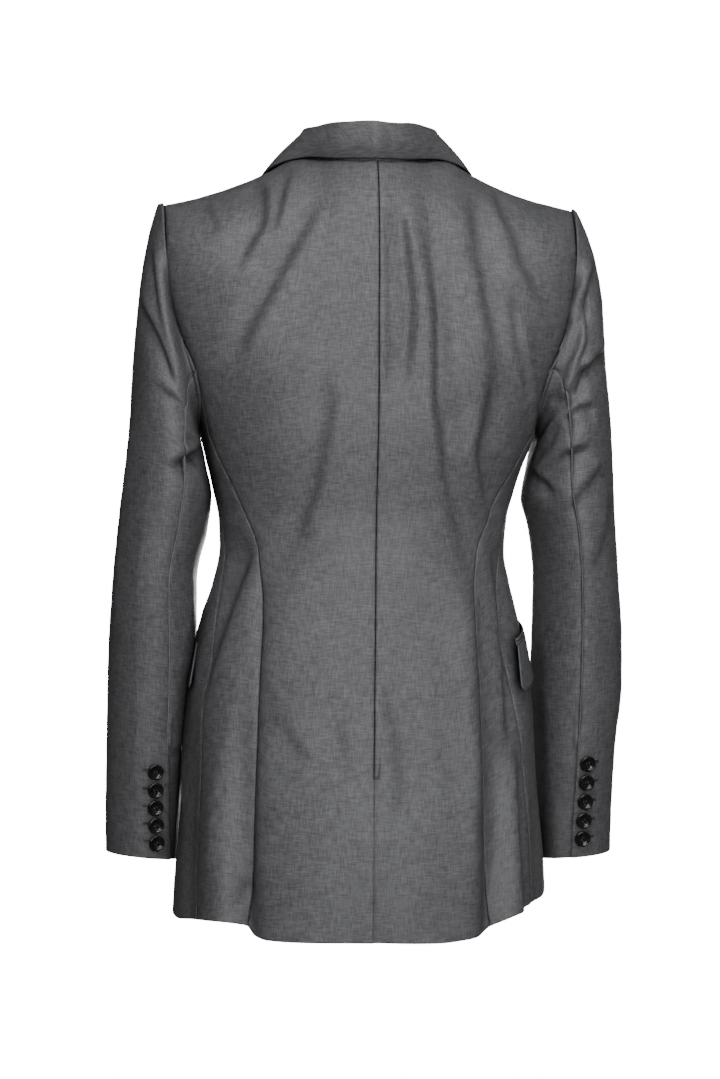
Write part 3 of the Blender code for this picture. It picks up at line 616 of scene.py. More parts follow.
def piece_of_cloth(name, *shells):
    """One mesh object from one or more shells, with its weave coordinates in metres."""
    points, faces, weaves, start = [], [], [], 0
    for vertices, quads, weave in shells:
        points.append(vertices)
        faces.append(quads + start)
        weaves.append(weave)
        start += len(vertices)
    faces, weaves = np.concatenate(faces), np.concatenate(weaves)
    mesh = bpy.data.meshes.new(name)
    mesh.from_pydata((np.concatenate(points) * MM).tolist(), [], faces.tolist())
    mesh.shade_smooth()
    uv = mesh.uv_layers.new(name="weave")
    uv.data.foreach_set("uv", (weaves[faces.reshape(-1)] * MM).reshape(-1))
    mesh.materials.append(cloth_material)
    obj = bpy.data.objects.new(name, mesh)
    bpy.context.scene.collection.objects.link(obj)
    return obj


def sheet_of_suiting(obj, node):
    """Parents a piece to the root and hides the CAD node that it takes the place of."""
    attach(obj, "root")
    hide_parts(node)


def line_through(spots, steps=5):
    """A smooth line through a few points."""
    spots = np.asarray(spots, float)
    count = np.arange(len(spots))
    fine = np.linspace(0, count[-1], count[-1] * steps + 1)
    return np.stack([smooth(count, axis)(fine) for axis in spots.T], axis=-1)


def nearest(points, outward, path):
    """How far points are from a path, the share of its length there, and the signed distance."""
    reach = np.concatenate([[0], np.cumsum(np.linalg.norm(np.diff(path, axis=0), axis=1))])
    far = np.full(points.shape[:-1], np.inf)
    share, sign = np.zeros_like(far), np.zeros_like(far)
    for start, end, before, after in zip(path, path[1:], reach, reach[1:]):
        run = end - start
        t = np.clip((points - start) @ run / max(run @ run, 1e-9), 0, 1)
        gap = points - (start + t[..., None] * run)
        distance = np.linalg.norm(gap, axis=-1)
        closer = distance < far
        side = (np.cross(run, gap) * outward).sum(-1)
        far = np.where(closer, distance, far)
        share = np.where(closer, (before + (after - before) * t) / reach[-1], share)
        sign = np.where(closer, np.sign(side), sign)
    return far, share, sign


FOLD_GROWN, FOLD_FADES = 0.25, 0.72  # shares of its length where a fold is full, and fades


def folds_at(points, outward, folds):
    """How far a list of folds moves the cloth out at each point.

    A fold is (depth, width, lean, path) and fades at its ends. With a lean it is a slope from a
    low ridge, on the side that lean says, into a trough that runs out slowly on the other side.
    Without one it is a trough, or with a negative depth a ridge, the same on both sides.
    """
    total = np.zeros(points.shape[:-1])
    for number, (depth, width, lean, path) in enumerate(folds):
        low, high = path.min(axis=0) - 4 * width, path.max(axis=0) + 4 * width
        near = ((points > low) & (points < high)).all(axis=-1)
        if not near.any():
            continue
        far, share, sign = nearest(points[near], outward[near], path)
        worn = 0.88 + 0.12 * np.sin(7 * share + 2.3 * number)
        length = ramp(share, 0, FOLD_GROWN) * (1 - ramp(share, FOLD_FADES, 1)) * worn
        wide = width * (1.5 - 0.5 * length)
        if lean:
            aside = far * sign * lean
            up = 1 / (1 + np.exp(-aside / (0.2 * wide)))
            shape = 0.8 * up * np.exp(-((np.maximum(aside, 0) / (1.1 * wide)) ** 2))
            shape -= 1.6 * (1 - up) * np.exp(-((np.minimum(aside, 0) / (1.5 * wide)) ** 2))
        else:
            shape = -2.1 * np.exp(0.17 - np.sqrt((far / (0.6 * wide)) ** 2 + 0.03))
        total[near] += depth * length * shape * ramp(4 * width - far, 0, width)
    return total


def ripple(points, size=0.3):
    """The slight unevenness of cloth that has been worn and pressed."""
    x, y, z = points[..., 0], points[..., 1], points[..., 2]
    waves = np.sin(0.061 * x + 0.043 * z + 1.0) + np.sin(0.083 * x - 0.037 * z + 0.11 * y + 2.0)
    fine = np.sin(0.19 * x + 0.11 * z) * np.sin(0.07 * x - 0.16 * z + 0.13 * y)
    return size * (0.45 * waves + 0.5 * fine)


def pucker(aside, along, size=0.22):
    """The slight drawing-up of cloth beside a sewn seam, aside from it and along it in mm."""
    waves = np.sin(along / 1.9) + 0.7 * np.sin(along / 3.1 + 1.3) + 0.5 * np.sin(along / 7.7)
    return size * waves * np.exp(-np.abs(aside) / 4.5) * ramp(np.abs(aside), 0.2, 2.2)


def on_body(spots):
    """A path on the body through spots, each at x from its middle line and at a level."""
    x, level = np.array(spots, float).T
    middle = sway(level)
    angles = np.sign(x - middle) * angle_at(np.abs(x - middle), np.minimum(level, ROLL), True)
    return body_point_signed(*line_through(np.stack([angles, level], axis=-1)).T)


def body_point_signed(angle, level):
    """A point of the body's face, with angles to the wearer's right below 0."""
    left, right = body_point(angle, level, LEFT), body_point(-angle, level, RIGHT)
    return np.where((angle >= 0)[..., None], left, right)


def on_seam(side, low, high):
    """A path down the seam between the back and the side panel."""
    levels = np.linspace(high, low, 30)
    return body_point(back_seam_angle(levels), levels, side)


def laid(folds, path_of, *where):
    """The folds of a list, each with the path through its spots in place of them."""
    return [
        (depth, width, lean, path_of(spots, *where) if isinstance(spots, list) else spots)
        for depth, width, lean, spots in folds
    ]


# Each fold's depth, width and lean, and the spots that it runs through: how far each is to
# the wearer's left of the middle, and its level.
BACK_FOLDS = [
    (4.4, 11, 1, [(112, -14), (103, -29), (98, -47), (101, -68), (114, -86), (132, -110)]),
    (4.4, 13, 1, [(45, -43), (60, -79), (75, -95), (93, -126), (111, -159), (132, -210)]),
    (2.4, 9, 1, [(72, -30), (80, -48), (87, -68), (97, -84)]),
    (1.6, 9, 1, [(152, -26), (147, -52), (138, -76)]),
    (3.6, 15, 1, [(37, -188), (40, -225), (46, -262), (52, -300), (64, -335), (84, -374)]),
    (1.0, 8, -1, [(-6, -60), (-8, -120), (-8, -190), (-5, -250)]),
    (3.4, 9, 1, [(-21, -48), (-26, -92), (-32, -131), (-30, -178), (-24, -222)]),
    (3.8, 10, -1, [(-41, -66), (-48, -118), (-51, -170), (-52, -236), (-60, -280)]),
    (4.0, 14, -1, [(-54, -206), (-60, -280), (-74, -339), (-88, -384)]),
    (3.6, 13, -1, [(-83, -44), (-89, -95), (-95, -130), (-104, -170), (-104, -206)]),
    (5.4, 15, -1, [(-106, -170), (-101, -222), (-94, -262), (-99, -298), (-116, -345)]),
    (3.6, 13, -1, [(-108, -14), (-115, -51), (-128, -84), (-142, -120), (-166, -156)]),
    (2.2, 9, -1, [(-118, -112), (-124, -158), (-135, -205), (-139, -228)]),
    (0.3, 1.6, 0, [(-6, -549), (5, -554), (24, -563), (46, -573), (52, -576)]),
    (-2.6, 11, 0, [(-124, -130), (-138, -180), (-145, -220), (-145, -260), (-138, -290)]),
    (1.6, 15, 1, [(92, -496), (76, -522), (58, -553)]),
    (1.2, 16, 1, [(36, -500), (28, -532), (27, -566)]),
    (2.2, 17, -1, [(2, -470), (-8, -500), (-17, -530), (-18, -565), (-8, -620)]),
    (1.3, 18, 1, [(-24, -460), (-32, -509), (-42, -552), (-54, -606)]),
    (1.5, 13, 0, [(116, -655), (126, -690), (134, -716)]),
    (3.2, 13, 0, on_seam(LEFT, -760, -330)),
    (
        5.6, 18, -1,
        [(-86, -330), (-90, -400), (-93, -460), (-97, -560), (-96, -640), (-98, -760)],
    ),
]

SIDE_FOLDS = [
    (5.6, 18, 1, [(102, -340), (118, -386), (133, -430), (145, -470), (153, -506)]),
    (-0.9, 16, 0, [(106, -400), (117, -450), (130, -520), (142, -600), (148, -690)]),
    (4.2, 30, -1, [(-108, -345), (-112, -420), (-114, -520), (-115, -620), (-118, -760)]),
    (-2.2, 11, 0, [(146, -380), (156, -430), (163, -480), (166, -540), (168, -620)]),
    (5.4, 14, -1, [(-108, -345), (-116, -390), (-122, -440), (-125, -500), (-124, -560)]),
    (4.4, 13, -1, [(-132, -520), (-134, -580), (-135, -650), (-138, -760)]),
]


def in_front(spots, side):
    """A path on a front, with x across from the middle line."""
    x, level = np.array(spots, float).T
    angles = angle_at(x, np.minimum(level, ROLL), False)
    angles, level = line_through(np.stack([angles, level], axis=-1)).T
    return body_point(angles, level, side)


# The same for the fronts, where a spot is measured from the middle on its own side.
FRONT_FOLDS = {
    LEFT: [
        (3.6, 11, 1, [(12, -352), (40, -340), (78, -318), (110, -290)]),
        (2.8, 11, -1, [(16, -372), (48, -384), (86, -400)]),
        (3.0, 12, 1, [(150, -120), (142, -160), (128, -205), (118, -236)]),
        (2.2, 11, 1, [(96, -520), (102, -580), (104, -660)]),
    ],
    RIGHT: [
        (4.0, 11, 1, [(14, -350), (44, -334), (84, -308), (112, -276)]),
        (3.2, 12, -1, [(14, -368), (50, -384), (92, -408)]),
        (3.4, 12, 1, [(154, -112), (147, -150), (134, -196), (120, -244)]),
        (2.4, 12, 1, [(88, -530), (96, -600), (98, -670)]),
    ],
}

SEEN_FOLDS = laid(BACK_FOLDS + SIDE_FOLDS, on_body)
BODY_FOLDS = {side: SEEN_FOLDS + laid(FRONT_FOLDS[side], in_front, side) for side in SIDES}

VENT_TOP = -560.0
VENT_LAP = 36.0  # how far the right back runs on under the left one
VENT_SLOPE = 34.0
VENT_STEP = 2.2  # how far the lap lies below the panel over it
VENT_COLUMNS = 13  # that the lap has
VENT_LIFT = 1.2  # how far the upper panel's edge stands off it at the hem
VENT_STITCHED = (-580.0, -544.0)  # between these levels the vent is stitched down
BACK_STEP, STITCHED_STEP, SHOULDER_STEP = 3.0, 1.2, 1.8  # from row to row
BACK_COLUMN = 1.9  # from column to column


def levels_up(low, top, step, low_edge, top_edge):
    """Levels from a piece's bottom edge to its top, and how far each row is sunk."""
    places, sunk = spread(top - low, step, low_edge, top_edge)
    return low + places[0], sunk


def back_levels():
    """The rows of a back panel, closer where the vent is stitched down and over the shoulder."""
    start, end = VENT_STITCHED
    levels, sunk = levels_up(HEM, start, BACK_STEP, FOLDED_EDGE, CUT)
    for low, top, step, edge in (
        (start, end, STITCHED_STEP, CUT),
        (end, ROLL, BACK_STEP, CUT),
        (ROLL, 0, SHOULDER_STEP, SEAM),
    ):
        more, more_sunk = levels_up(low, top, step, CUT, edge)
        levels, sunk = np.concatenate([levels, more[1:]]), np.concatenate([sunk, more_sunk[1:]])
    return levels, sunk


def back_panel(side):
    levels, row_sunk = back_levels()
    height = np.minimum(levels, ROLL)
    in_armhole = levels > BACK_ARMHOLE
    edge = np.where(
        in_armhole, armhole_angle(levels, True), back_seam_angle(np.minimum(levels, BACK_ARMHOLE))
    )
    edge_x, _ = ring_point(edge, height)
    middle_x = -side * centre_seam_x(levels)
    places, sunk = spread(edge_x - middle_x, BACK_COLUMN, SEAM, SEAM)
    x = middle_x[:, None] + places
    sunk = np.broadcast_to(sunk, x.shape).copy()
    free = 1 - ramp(levels, VENT_TOP - 3, VENT_TOP + 3)
    near_middle = len(SEAM["aside"])
    if side == LEFT:
        edge_sunk = 0.2 * (places[:, :near_middle] < 0.3)
        sunk[:, :near_middle] += free[:, None] * (edge_sunk - sunk[:, :near_middle])
        sunk -= VENT_LIFT * ramp(-levels, -VENT_TOP, 690)[:, None] * (1 - ramp(places, 0, 26))
    else:
        x, sunk = with_vent_lap(x, sunk, levels, free)
    height, levels = height[:, None] + 0 * x, levels[:, None] + 0 * x
    angles = angle_at(x, height, True)
    base, outward = face_of_body(angles, levels, side)
    edge_far = np.abs(x - edge_x[:, None])
    proud = folds_at(base, outward, BODY_FOLDS[side]) + ripple(base) + pucker(edge_far, levels)
    proud += pucker(np.abs(x - middle_x[:, None]), levels, 0.16) * (levels > VENT_TOP)
    face = body_point(angles, levels, side, proud - sunk - row_sunk[:, None])
    lap = 0 if side == LEFT else VENT_COLUMNS
    return piece_of_cloth(f"back_{SIDES[side]}_cloth", shell_of(face, outward, grain=lap))


def with_vent_lap(x, sunk, levels, free):
    """Adds the vent's extension, which above the vent is only the centre seam's allowance."""
    start = x[:, :1]
    width = VENT_LAP * np.clip((VENT_TOP - levels) / VENT_SLOPE, 0, 1)[:, None]
    shares = np.linspace(1, 0, VENT_COLUMNS, endpoint=False)
    seam = len(SEAM["aside"])
    lap_x = start - width * shares
    lap_sunk = sunk[:, :1] + 3.0 * shares * (1 - free[:, None])
    lap_sunk += free[:, None] * (VENT_STEP - lap_sunk)
    under = VENT_STEP * (1 - ramp(x - start, 4, 30)) * (1 - ramp(levels, VENT_TOP, -530))[:, None]
    settled = under[:, :seam]
    sunk = sunk.copy()
    sunk[:, :seam] += free[:, None] * (settled - sunk[:, :seam])
    sunk[:, seam:] += under[:, seam:]
    return np.concatenate([lap_x, x], axis=1), np.concatenate([lap_sunk, sunk], axis=1)


for side in SIDES:
    sheet_of_suiting(back_panel(side), f"back_{SIDES[side]}")


# --------------------------------------------------------------------------------------
# The side panels. Each runs from the princess seam behind to the side seam under the arm,
# and up into the armhole. Below the waist it stands out in a soft fold.
# --------------------------------------------------------------------------------------

SIDE_STEP = 2.4
SIDE_TOP = -278.0  # above this the panel's rows bend up into the armhole
SIDE_WIDTH = 58.0
SIDE_RISE = 60.0  # from SIDE_TOP to the armhole's seam


def side_panel(side):
    low, low_sunk = levels_up(HEM, SIDE_TOP, SIDE_STEP, FOLDED_EDGE, CUT)
    high, high_sunk = spread(SIDE_RISE, SIDE_STEP, CUT, SEAM)
    climb = high[0, 1:, None] / SIDE_RISE
    places, sunk = spread(SIDE_WIDTH, SIDE_STEP, SEAM, SEAM)
    share = places[0] / SIDE_WIDTH
    first, last = back_seam_angle(low)[:, None], side_seam[side](low)[:, None]
    straight, even = first + (last - first) * share, low[:, None] + 0 * share
    rising = ARMHOLE["level"] <= BACK_ARMHOLE
    top_y = armhole_y[True](BACK_ARMHOLE) * (1 - share)
    top = smooth(ARMHOLE["back"][rising], ARMHOLE["level"][rising])(top_y)
    above = SIDE_TOP + (top - SIDE_TOP) * climb
    first, last = back_seam_angle(above[:, :1]), side_seam[side](above[:, -1:])
    bent = first + (last - first) * share
    bent += (angle_of_depth(top_y, top) - bent) * climb**2
    angles, levels = np.concatenate([straight, bent]), np.concatenate([even, above])
    row_sunk = np.concatenate([low_sunk, high_sunk[1:]])
    base, outward = face_of_body(angles, levels, side)
    proud = folds_at(base, outward, BODY_FOLDS[side]) + ripple(base)
    proud += pucker(places, levels) + pucker(SIDE_WIDTH - places, levels + 3)
    face = body_point(angles, levels, side, proud - sunk - row_sunk[:, None])
    return piece_of_cloth(f"side_{SIDES[side]}_cloth", shell_of(face, outward))


for side in SIDES:
    sheet_of_suiting(side_panel(side), f"side_{SIDES[side]}")


# --------------------------------------------------------------------------------------
# The fronts. Each is one panel with its facing, so its edge is thicker and rounded. The
# right one laps over the left and they close on a single button at the waist.
# --------------------------------------------------------------------------------------

FRONT_SINK = 6.5  # how far the left front lies below the right one where they cross
FRONT_SINK_WIDTH = 80.0
FRONT_STEP, FRONT_SHOULDER_STEP = 3.4, 2.6
FRONT_WIDTH = 235.0
FRONT_ROW_COUNTS = (9, 40, 26)  # under the arm, round the armhole, and beside the lapel
FACED_WALL = 2.0
# Above the side seam a front's rows run from a point of the armhole to a level of its edge.
FRONT_ROWS = table(
    "armhole_y level",
    [
        (0, -252),
        (-13, -241),
        (-25, -230),
        (-37, -217),
        (-45, -205),
        (-51, -193),
        (-56, -181),
        (-58, -168),
    ],
)
FRONT_ROWS_ABOVE = table("armhole_level level", [(-168, -152), (-145, -133), (-118, -112), (-92, -92)])


def front_sink(side, x):
    """The left front passes under the right one."""
    return FRONT_SINK * (1 - ramp(x, -5, FRONT_SINK_WIDTH)) if side == LEFT else 0.0 * x


def front_rows(side):
    """Angle and level where each row starts, at the side or armhole, its edge level, and sink."""
    low, low_sunk = levels_up(HEM, SIDE_TOP, FRONT_STEP, FOLDED_EDGE, CUT)
    rows = [(side_seam[side](low), low, low)]
    under, around, beside = FRONT_ROW_COUNTS
    low = np.linspace(SIDE_TOP, ARMHOLE["level"][0], under)[1:]
    edge = SIDE_TOP + (FRONT_ROWS["level"][0] - SIDE_TOP) * np.linspace(0, 1, under)[1:]
    rows.append((side_seam[side](low), low, edge))
    count = np.arange(len(FRONT_ROWS["level"]))
    row = np.linspace(0, count[-1], around)[1:]
    y = smooth(count, FRONT_ROWS["armhole_y"])(row)
    height = smooth(-ARMHOLE["front"][: len(count)], ARMHOLE["level"][: len(count)])(-y)
    rows.append((angle_of_depth(y, height), height, smooth(count, FRONT_ROWS["level"])(row)))
    level = np.linspace(FRONT_ROWS_ABOVE["armhole_level"][0], ROLL, beside)[1:]
    edge = smooth(FRONT_ROWS_ABOVE["armhole_level"], FRONT_ROWS_ABOVE["level"])(level)
    rows.append((armhole_angle(level, False), level, edge))
    level, high_sunk = levels_up(ROLL, 0, FRONT_SHOULDER_STEP, CUT, SEAM)
    rows.append((armhole_angle(level[1:], False), level[1:], level[1:]))
    angle, start, edge = (np.concatenate(part) for part in zip(*rows))
    row_sunk = np.zeros(len(angle))
    row_sunk[: len(low_sunk)] = low_sunk
    row_sunk[-len(high_sunk) + 1 :] = high_sunk[1:]
    return angle, start, edge, row_sunk


def front_panel(side):
    first_angle, first_level, last_level, row_sunk = front_rows(side)
    places, sunk = spread(FRONT_WIDTH, FRONT_STEP, SEAM, FOLDED_EDGE)
    share = places[0] / FRONT_WIDTH
    last_angle = front_edge_angle(last_level)
    angles = first_angle[:, None] + (last_angle - first_angle)[:, None] * share
    levels = first_level[:, None] + (last_level - first_level)[:, None] * share
    x, _ = ring_point(angles, np.minimum(levels, ROLL))
    base, outward = face_of_body(angles, levels, side)
    calm = ramp(FRONT_WIDTH - places[0], 6, 40)
    proud = (folds_at(base, outward, BODY_FOLDS[side]) + ripple(base)) * calm
    proud += pucker(places[0], levels)
    face = body_point(angles, levels, side, proud - front_sink(side, x) - sunk - row_sunk[:, None])
    return piece_of_cloth(f"front_{SIDES[side]}_cloth", shell_of(face, outward, FACED_WALL))


for side in SIDES:
    sheet_of_suiting(front_panel(side), f"front_{SIDES[side]}")


# --------------------------------------------------------------------------------------
# The sleeves. Each is a top and an under piece, set into the armhole with a soft head that
# stands just proud of the shoulder, bent at the elbow and open in a vent at the cuff.
# --------------------------------------------------------------------------------------

# Rings of the sleeve, fanned out from the armhole to the horizontal. A ring's angle is 0 on the
# outer side, 90 behind, 180 on the inner side and 270 in front.
SLEEVE = table(
    "ring outer_left outer_right outer_z inner_left inner_right inner_z middle_y half_depth",
    [
        (0, 195, 195, -42, 155, 155, -249, 0, 58),
        (1, 203, 206, -54, 155, 155, -252, 0, 60),
        (2, 208, 213, -85, 154.5, 154.5, -256, 1, 63),
        (3, 212, 217.5, -130, 153, 153, -262, 2, 66),
        (4, 216, 221, -180, 150.5, 150.5, -272, 1, 67),
        (5, 219.5, 226, -232, 147.5, 147.5, -287, -1, 67.5),
        (6, 224.5, 229.5, -285, 143.5, 144.5, -308, -4, 67),
        (7, 230, 233, -335, 147, 153, -340, -9, 65),
        (8, 234.5, 237, -385, 156, 158, -385, -15, 62.5),
        (9, 237, 242, -435, 155.5, 158, -435, -22, 60),
        (10, 238, 243.5, -485, 158, 158.5, -485, -30, 57.5),
        (11, 238.5, 239, -540, 162, 162, -540, -38, 55),
        (12, 238.5, 237.5, -592, 164, 163, -592, -46, 52.5),
        (13, 238, 237, -640, 165, 163, -646, -53, 50),
    ],
)
FREE_RING = 3.0  # from this ring on the sleeve no longer follows the armhole
SLEEVE_CLEAR = 1.4  # between the sleeve and the body under the arm and at the armhole
CONTACT_TOP = -150.0  # below this the sleeve lies against the body under the arm
POCKET_CLEAR = 3.6  # the sleeve lies this much further out where the pocket is under it
POCKET_CLEAR_LEVELS = (-395, -430)


sleeve_size = curves(SLEEVE, "ring", {name: name for name in SLEEVE})


def armhole_loop(side, out=0.0, points=181):
    """The armhole's edge from the shoulder down the back, and up the front, as a function of
    the sleeve's angle. The edge can be moved out from the body."""
    halves = []
    for behind in (True, False):
        levels = np.concatenate([np.linspace(0, ROLL, 30), ARMHOLE["level"][::-1][1:]])
        fine = np.interp(np.linspace(0, len(levels) - 1, points), range(len(levels)), levels)
        edge = body_point(armhole_angle(fine, behind), fine, side, out)
        far = np.concatenate([[0], np.cumsum(np.linalg.norm(np.diff(edge, axis=0), axis=1))])
        halves.append((far / far[-1] * 180, edge))

    def loop(angle):
        angle = np.asarray(angle, float) % 360
        behind = angle <= 180
        turn = np.where(behind, angle, 360 - angle)
        ends = [
            np.stack([np.interp(turn, far, edge[:, axis]) for axis in range(3)], axis=-1)
            for far, edge in halves
        ]
        return np.where(behind[..., None], ends[0], ends[1])

    return loop


LOOPS = {side: armhole_loop(side) for side in SIDES}
LOOPS_OUT = {side: armhole_loop(side, 1.0) for side in SIDES}


def sleeve_point(angle, ring, side, out=0.0):
    """A point of the sleeve's outer face, moved out from it by out."""
    angle, ring = np.broadcast_arrays(np.asarray(angle, float), np.asarray(ring, float))
    name = SIDES[side]
    outer = np.stack([sleeve_size[f"outer_{name}"](ring), sleeve_size["outer_z"](ring)])
    inner = np.stack([sleeve_size[f"inner_{name}"](ring), sleeve_size["inner_z"](ring)])
    middle, half = (outer + inner) / 2, (outer - inner) / 2
    long = np.hypot(*half)
    cosine, sine = np.cos(np.radians(angle)), np.sin(np.radians(angle))
    deep = sleeve_size["half_depth"](ring)
    nx, ny = cosine / long, sine / deep
    size = np.hypot(nx, ny)
    across = (cosine * long + out * nx / size) / long
    x, z = middle[0] + across * half[0], middle[1] + across * half[1]
    y = sleeve_size["middle_y"](ring) + sine * deep + out * ny / size
    free = np.stack([side * x, y, z], axis=-1)
    share = ramp(ring, 0, FREE_RING)[..., None]
    point = LOOPS[side](angle) * (1 - share) + free * share
    return clear_of_body(point, side, ramp(ring, 0.1, 1.2))


def clear_of_body(point, side, whole):
    """A point of the sleeve, moved out where it would touch the body under the arm."""
    y, z = point[..., 1], point[..., 2]
    x = side * (point[..., 0] - sway(z))
    depth = np.where(y > 0, DEPTH[True](z), DEPTH[False](z))
    power = np.where(y > 0, POWER[True](z), POWER[False](z))
    share = np.clip(1 - (np.abs(y) / depth) ** power, 0, 1)
    clear = SLEEVE_CLEAR + POCKET_CLEAR * ramp(-z, *(-level for level in POCKET_CLEAR_LEVELS))
    least = half_width(z) * share ** (1 / power) + clear * whole
    moved = np.where(z < CONTACT_TOP, np.maximum(x, least), x)
    return np.stack([side * moved + sway(z), y, z], axis=-1)


# The ring angle of the seam behind the elbow, from the armhole to the cuff.
SLEEVE_BACK_SEAM = table(
    "ring left right",
    [(0, 124, 122), (2, 120, 112), (5, 112, 99), (8, 109, 95), (10.5, 116, 96), (13, 128, 100)],
)
sleeve_seam = curves(SLEEVE_BACK_SEAM, "ring", SIDES)
SLEEVE_FRONT_SEAM = 236.0
CUFF_VENT_RING = 11.0  # the cuff's vent starts here
CUFF_LAP = 26.0  # degrees that the under sleeve runs on under the top sleeve there

CUFF_STEP = 2.0
ALONG_SLEEVE = 50.0  # mm from ring to ring down the arm
ROUND_SLEEVE = 0.92  # mm to a degree round it
SLEEVE_STEP = 2.6
FIRST_RING = 14.0  # mm from the armhole's seam to the first ring, with the rows close together
CAP_RING, CUFF_RING = 6, 13  # the rings where the sleeve's cap ends, and the cuff
CAP_ROW = 0.075  # rings from row to row of the cap
CUFF_COLUMNS = 9  # that the lap of the cuff's vent has
SLEEVE_MIDDLE = 195.0  # x down the middle of the sleeve
SLEEVE_WORN = 0.9  # how deep the sleeve's folds are, as a share of what their list says
HEAD = 2.4  # how far the sleeve's head stands proud of the shoulder


def on_sleeve(spots, side):
    """A path on a sleeve through spots, each at an angle and a ring."""
    angle, ring = line_through(spots).T
    return sleeve_point(angle, ring, side)


# The same for the sleeves, where a spot is an angle and a ring.
SLEEVE_FOLDS = {
    LEFT: [
        (3.8, 8, 1, [(22, 1.8), (40, 2.08), (72, 2.54), (100, 2.62), (118, 2.74)]),
        (4.2, 8, 1, [(14, 2.9), (36, 3.02), (69, 3.06), (96, 3.02), (114, 2.9)]),
        (2.6, 8, 1, [(60, 4.1), (84, 3.85), (104, 3.5), (124, 3.3)]),
        (
            -0.9, 11, 0,
            [(60, 5.6), (64, 6.5), (66, 7.66), (68, 9.12), (72, 10.5), (72, 12.6)],
        ),
        (2.4, 7, -1, [(160, 3.6), (138, 4.1), (112, 4.3)]),
        (3.2, 8, -1, [(160, 4.3), (138, 4.6), (112, 5.2), (92, 5.5)]),
        (3.8, 8, -1, [(150, 4.1), (134, 4.6), (118, 5.02), (98, 5.46), (84, 5.8)]),
        (-1.0, 15, 0, [(146, 7.0), (150, 8.6), (152, 10.2), (154, 11.6), (156, 12.8)]),
        (1.0, 9, 1, [(112, 11.2), (140, 11.0), (176, 10.8)]),
        (2.0, 14, 1, [(20, 4.5), (16, 6.0), (18, 8.0), (22, 9.4)]),
        (3.2, 10, 1, [(250, 5.4), (284, 5.9), (316, 6.4)]),
        (3.0, 10, -1, [(246, 6.2), (276, 6.9), (306, 7.2)]),
        (2.4, 11, 1, [(300, 2.4), (320, 3.1), (348, 3.4)]),
        (2.2, 12, 1, [(280, 9.4), (310, 9.9), (340, 10.1)]),
    ],
    RIGHT: [
        (3.4, 8, 1, [(86, 1.0), (70, 1.7), (50, 2.4)]),
        (4.4, 8, -1, [(60, 1.8), (67, 2.4), (72, 2.8), (92, 2.72), (112, 2.4)]),
        (4.6, 8, 1, [(130, 2.2), (108, 2.9), (86, 3.1), (62, 3.6), (46, 3.7)]),
        (4.4, 8, 1, [(112, 3.2), (95, 3.42), (60, 3.56), (34, 3.7), (12, 3.8)]),
        (4.0, 8, 1, [(120, 3.7), (105, 3.84), (88, 4.08), (72, 4.34), (56, 4.6)]),
        (3.4, 8, -1, [(8, 2.3), (40, 2.1), (79, 1.84), (104, 1.9), (122, 2.0)]),
        (2.0, 6, 1, [(160, 2.2), (138, 2.3), (114, 2.35)]),
        (2.6, 7, 1, [(166, 3.5), (140, 3.4), (108, 3.8)]),
        (2.2, 7, 1, [(164, 4.2), (144, 3.9), (124, 3.6)]),
        (4.2, 9, 1, [(150, 5.3), (134, 5.22), (114, 5.0), (94, 5.12), (64, 5.3)]),
        (3.4, 8, 1, [(168, 4.6), (146, 5.3), (124, 5.9), (108, 6.2)]),
        (3.2, 11, -1, [(48, 5.7), (62, 5.86), (80, 6.1), (96, 6.36), (112, 6.7)]),
        (2.0, 13, -1, [(40, 6.3), (52, 7.0), (74, 7.6), (92, 8.0)]),
        (0.5, 8, 1, [(104, 9.1), (94, 9.3), (84, 9.3)]),
        (0.8, 10, 1, [(116, 10.6), (100, 10.3), (82, 10.1)]),
        (3.0, 10, 1, [(252, 5.2), (286, 5.7), (318, 6.3)]),
        (3.0, 10, -1, [(248, 6.0), (278, 6.6), (310, 7.1)]),
        (2.4, 11, 1, [(298, 2.5), (322, 3.0), (346, 3.5)]),
        (2.2, 12, 1, [(286, 9.6), (312, 9.9), (338, 10.3)]),
    ],
}


SLEEVE_PATHS = {side: laid(SLEEVE_FOLDS[side], on_sleeve, side) for side in SIDES}


def sleeve_rings():
    """The rows of a sleeve piece, close together at the armhole's seam and at the cuff."""
    start, start_sunk = spread(FIRST_RING, 2.0, SEAM, CUT)
    cap = np.concatenate([start[0] / FIRST_RING, np.arange(1.07, CAP_RING, CAP_ROW)])
    arm, arm_sunk = spread((CUFF_RING - CAP_RING) * ALONG_SLEEVE, SLEEVE_STEP, CUT, FOLDED_EDGE)
    rings = np.concatenate([cap, CAP_RING + arm[0] / ALONG_SLEEVE])
    sunk = np.zeros(len(rings))
    sunk[: len(start_sunk)] = start_sunk
    sunk[-len(arm_sunk) :] = arm_sunk
    return rings, sunk, len(start_sunk)


def sleeve_creases(base, outward, side):
    """How far the creases and the wear of a sleeve move its cloth out, as two parts."""
    return SLEEVE_WORN * folds_at(base, outward, SLEEVE_PATHS[side]), ripple(base, 0.4)


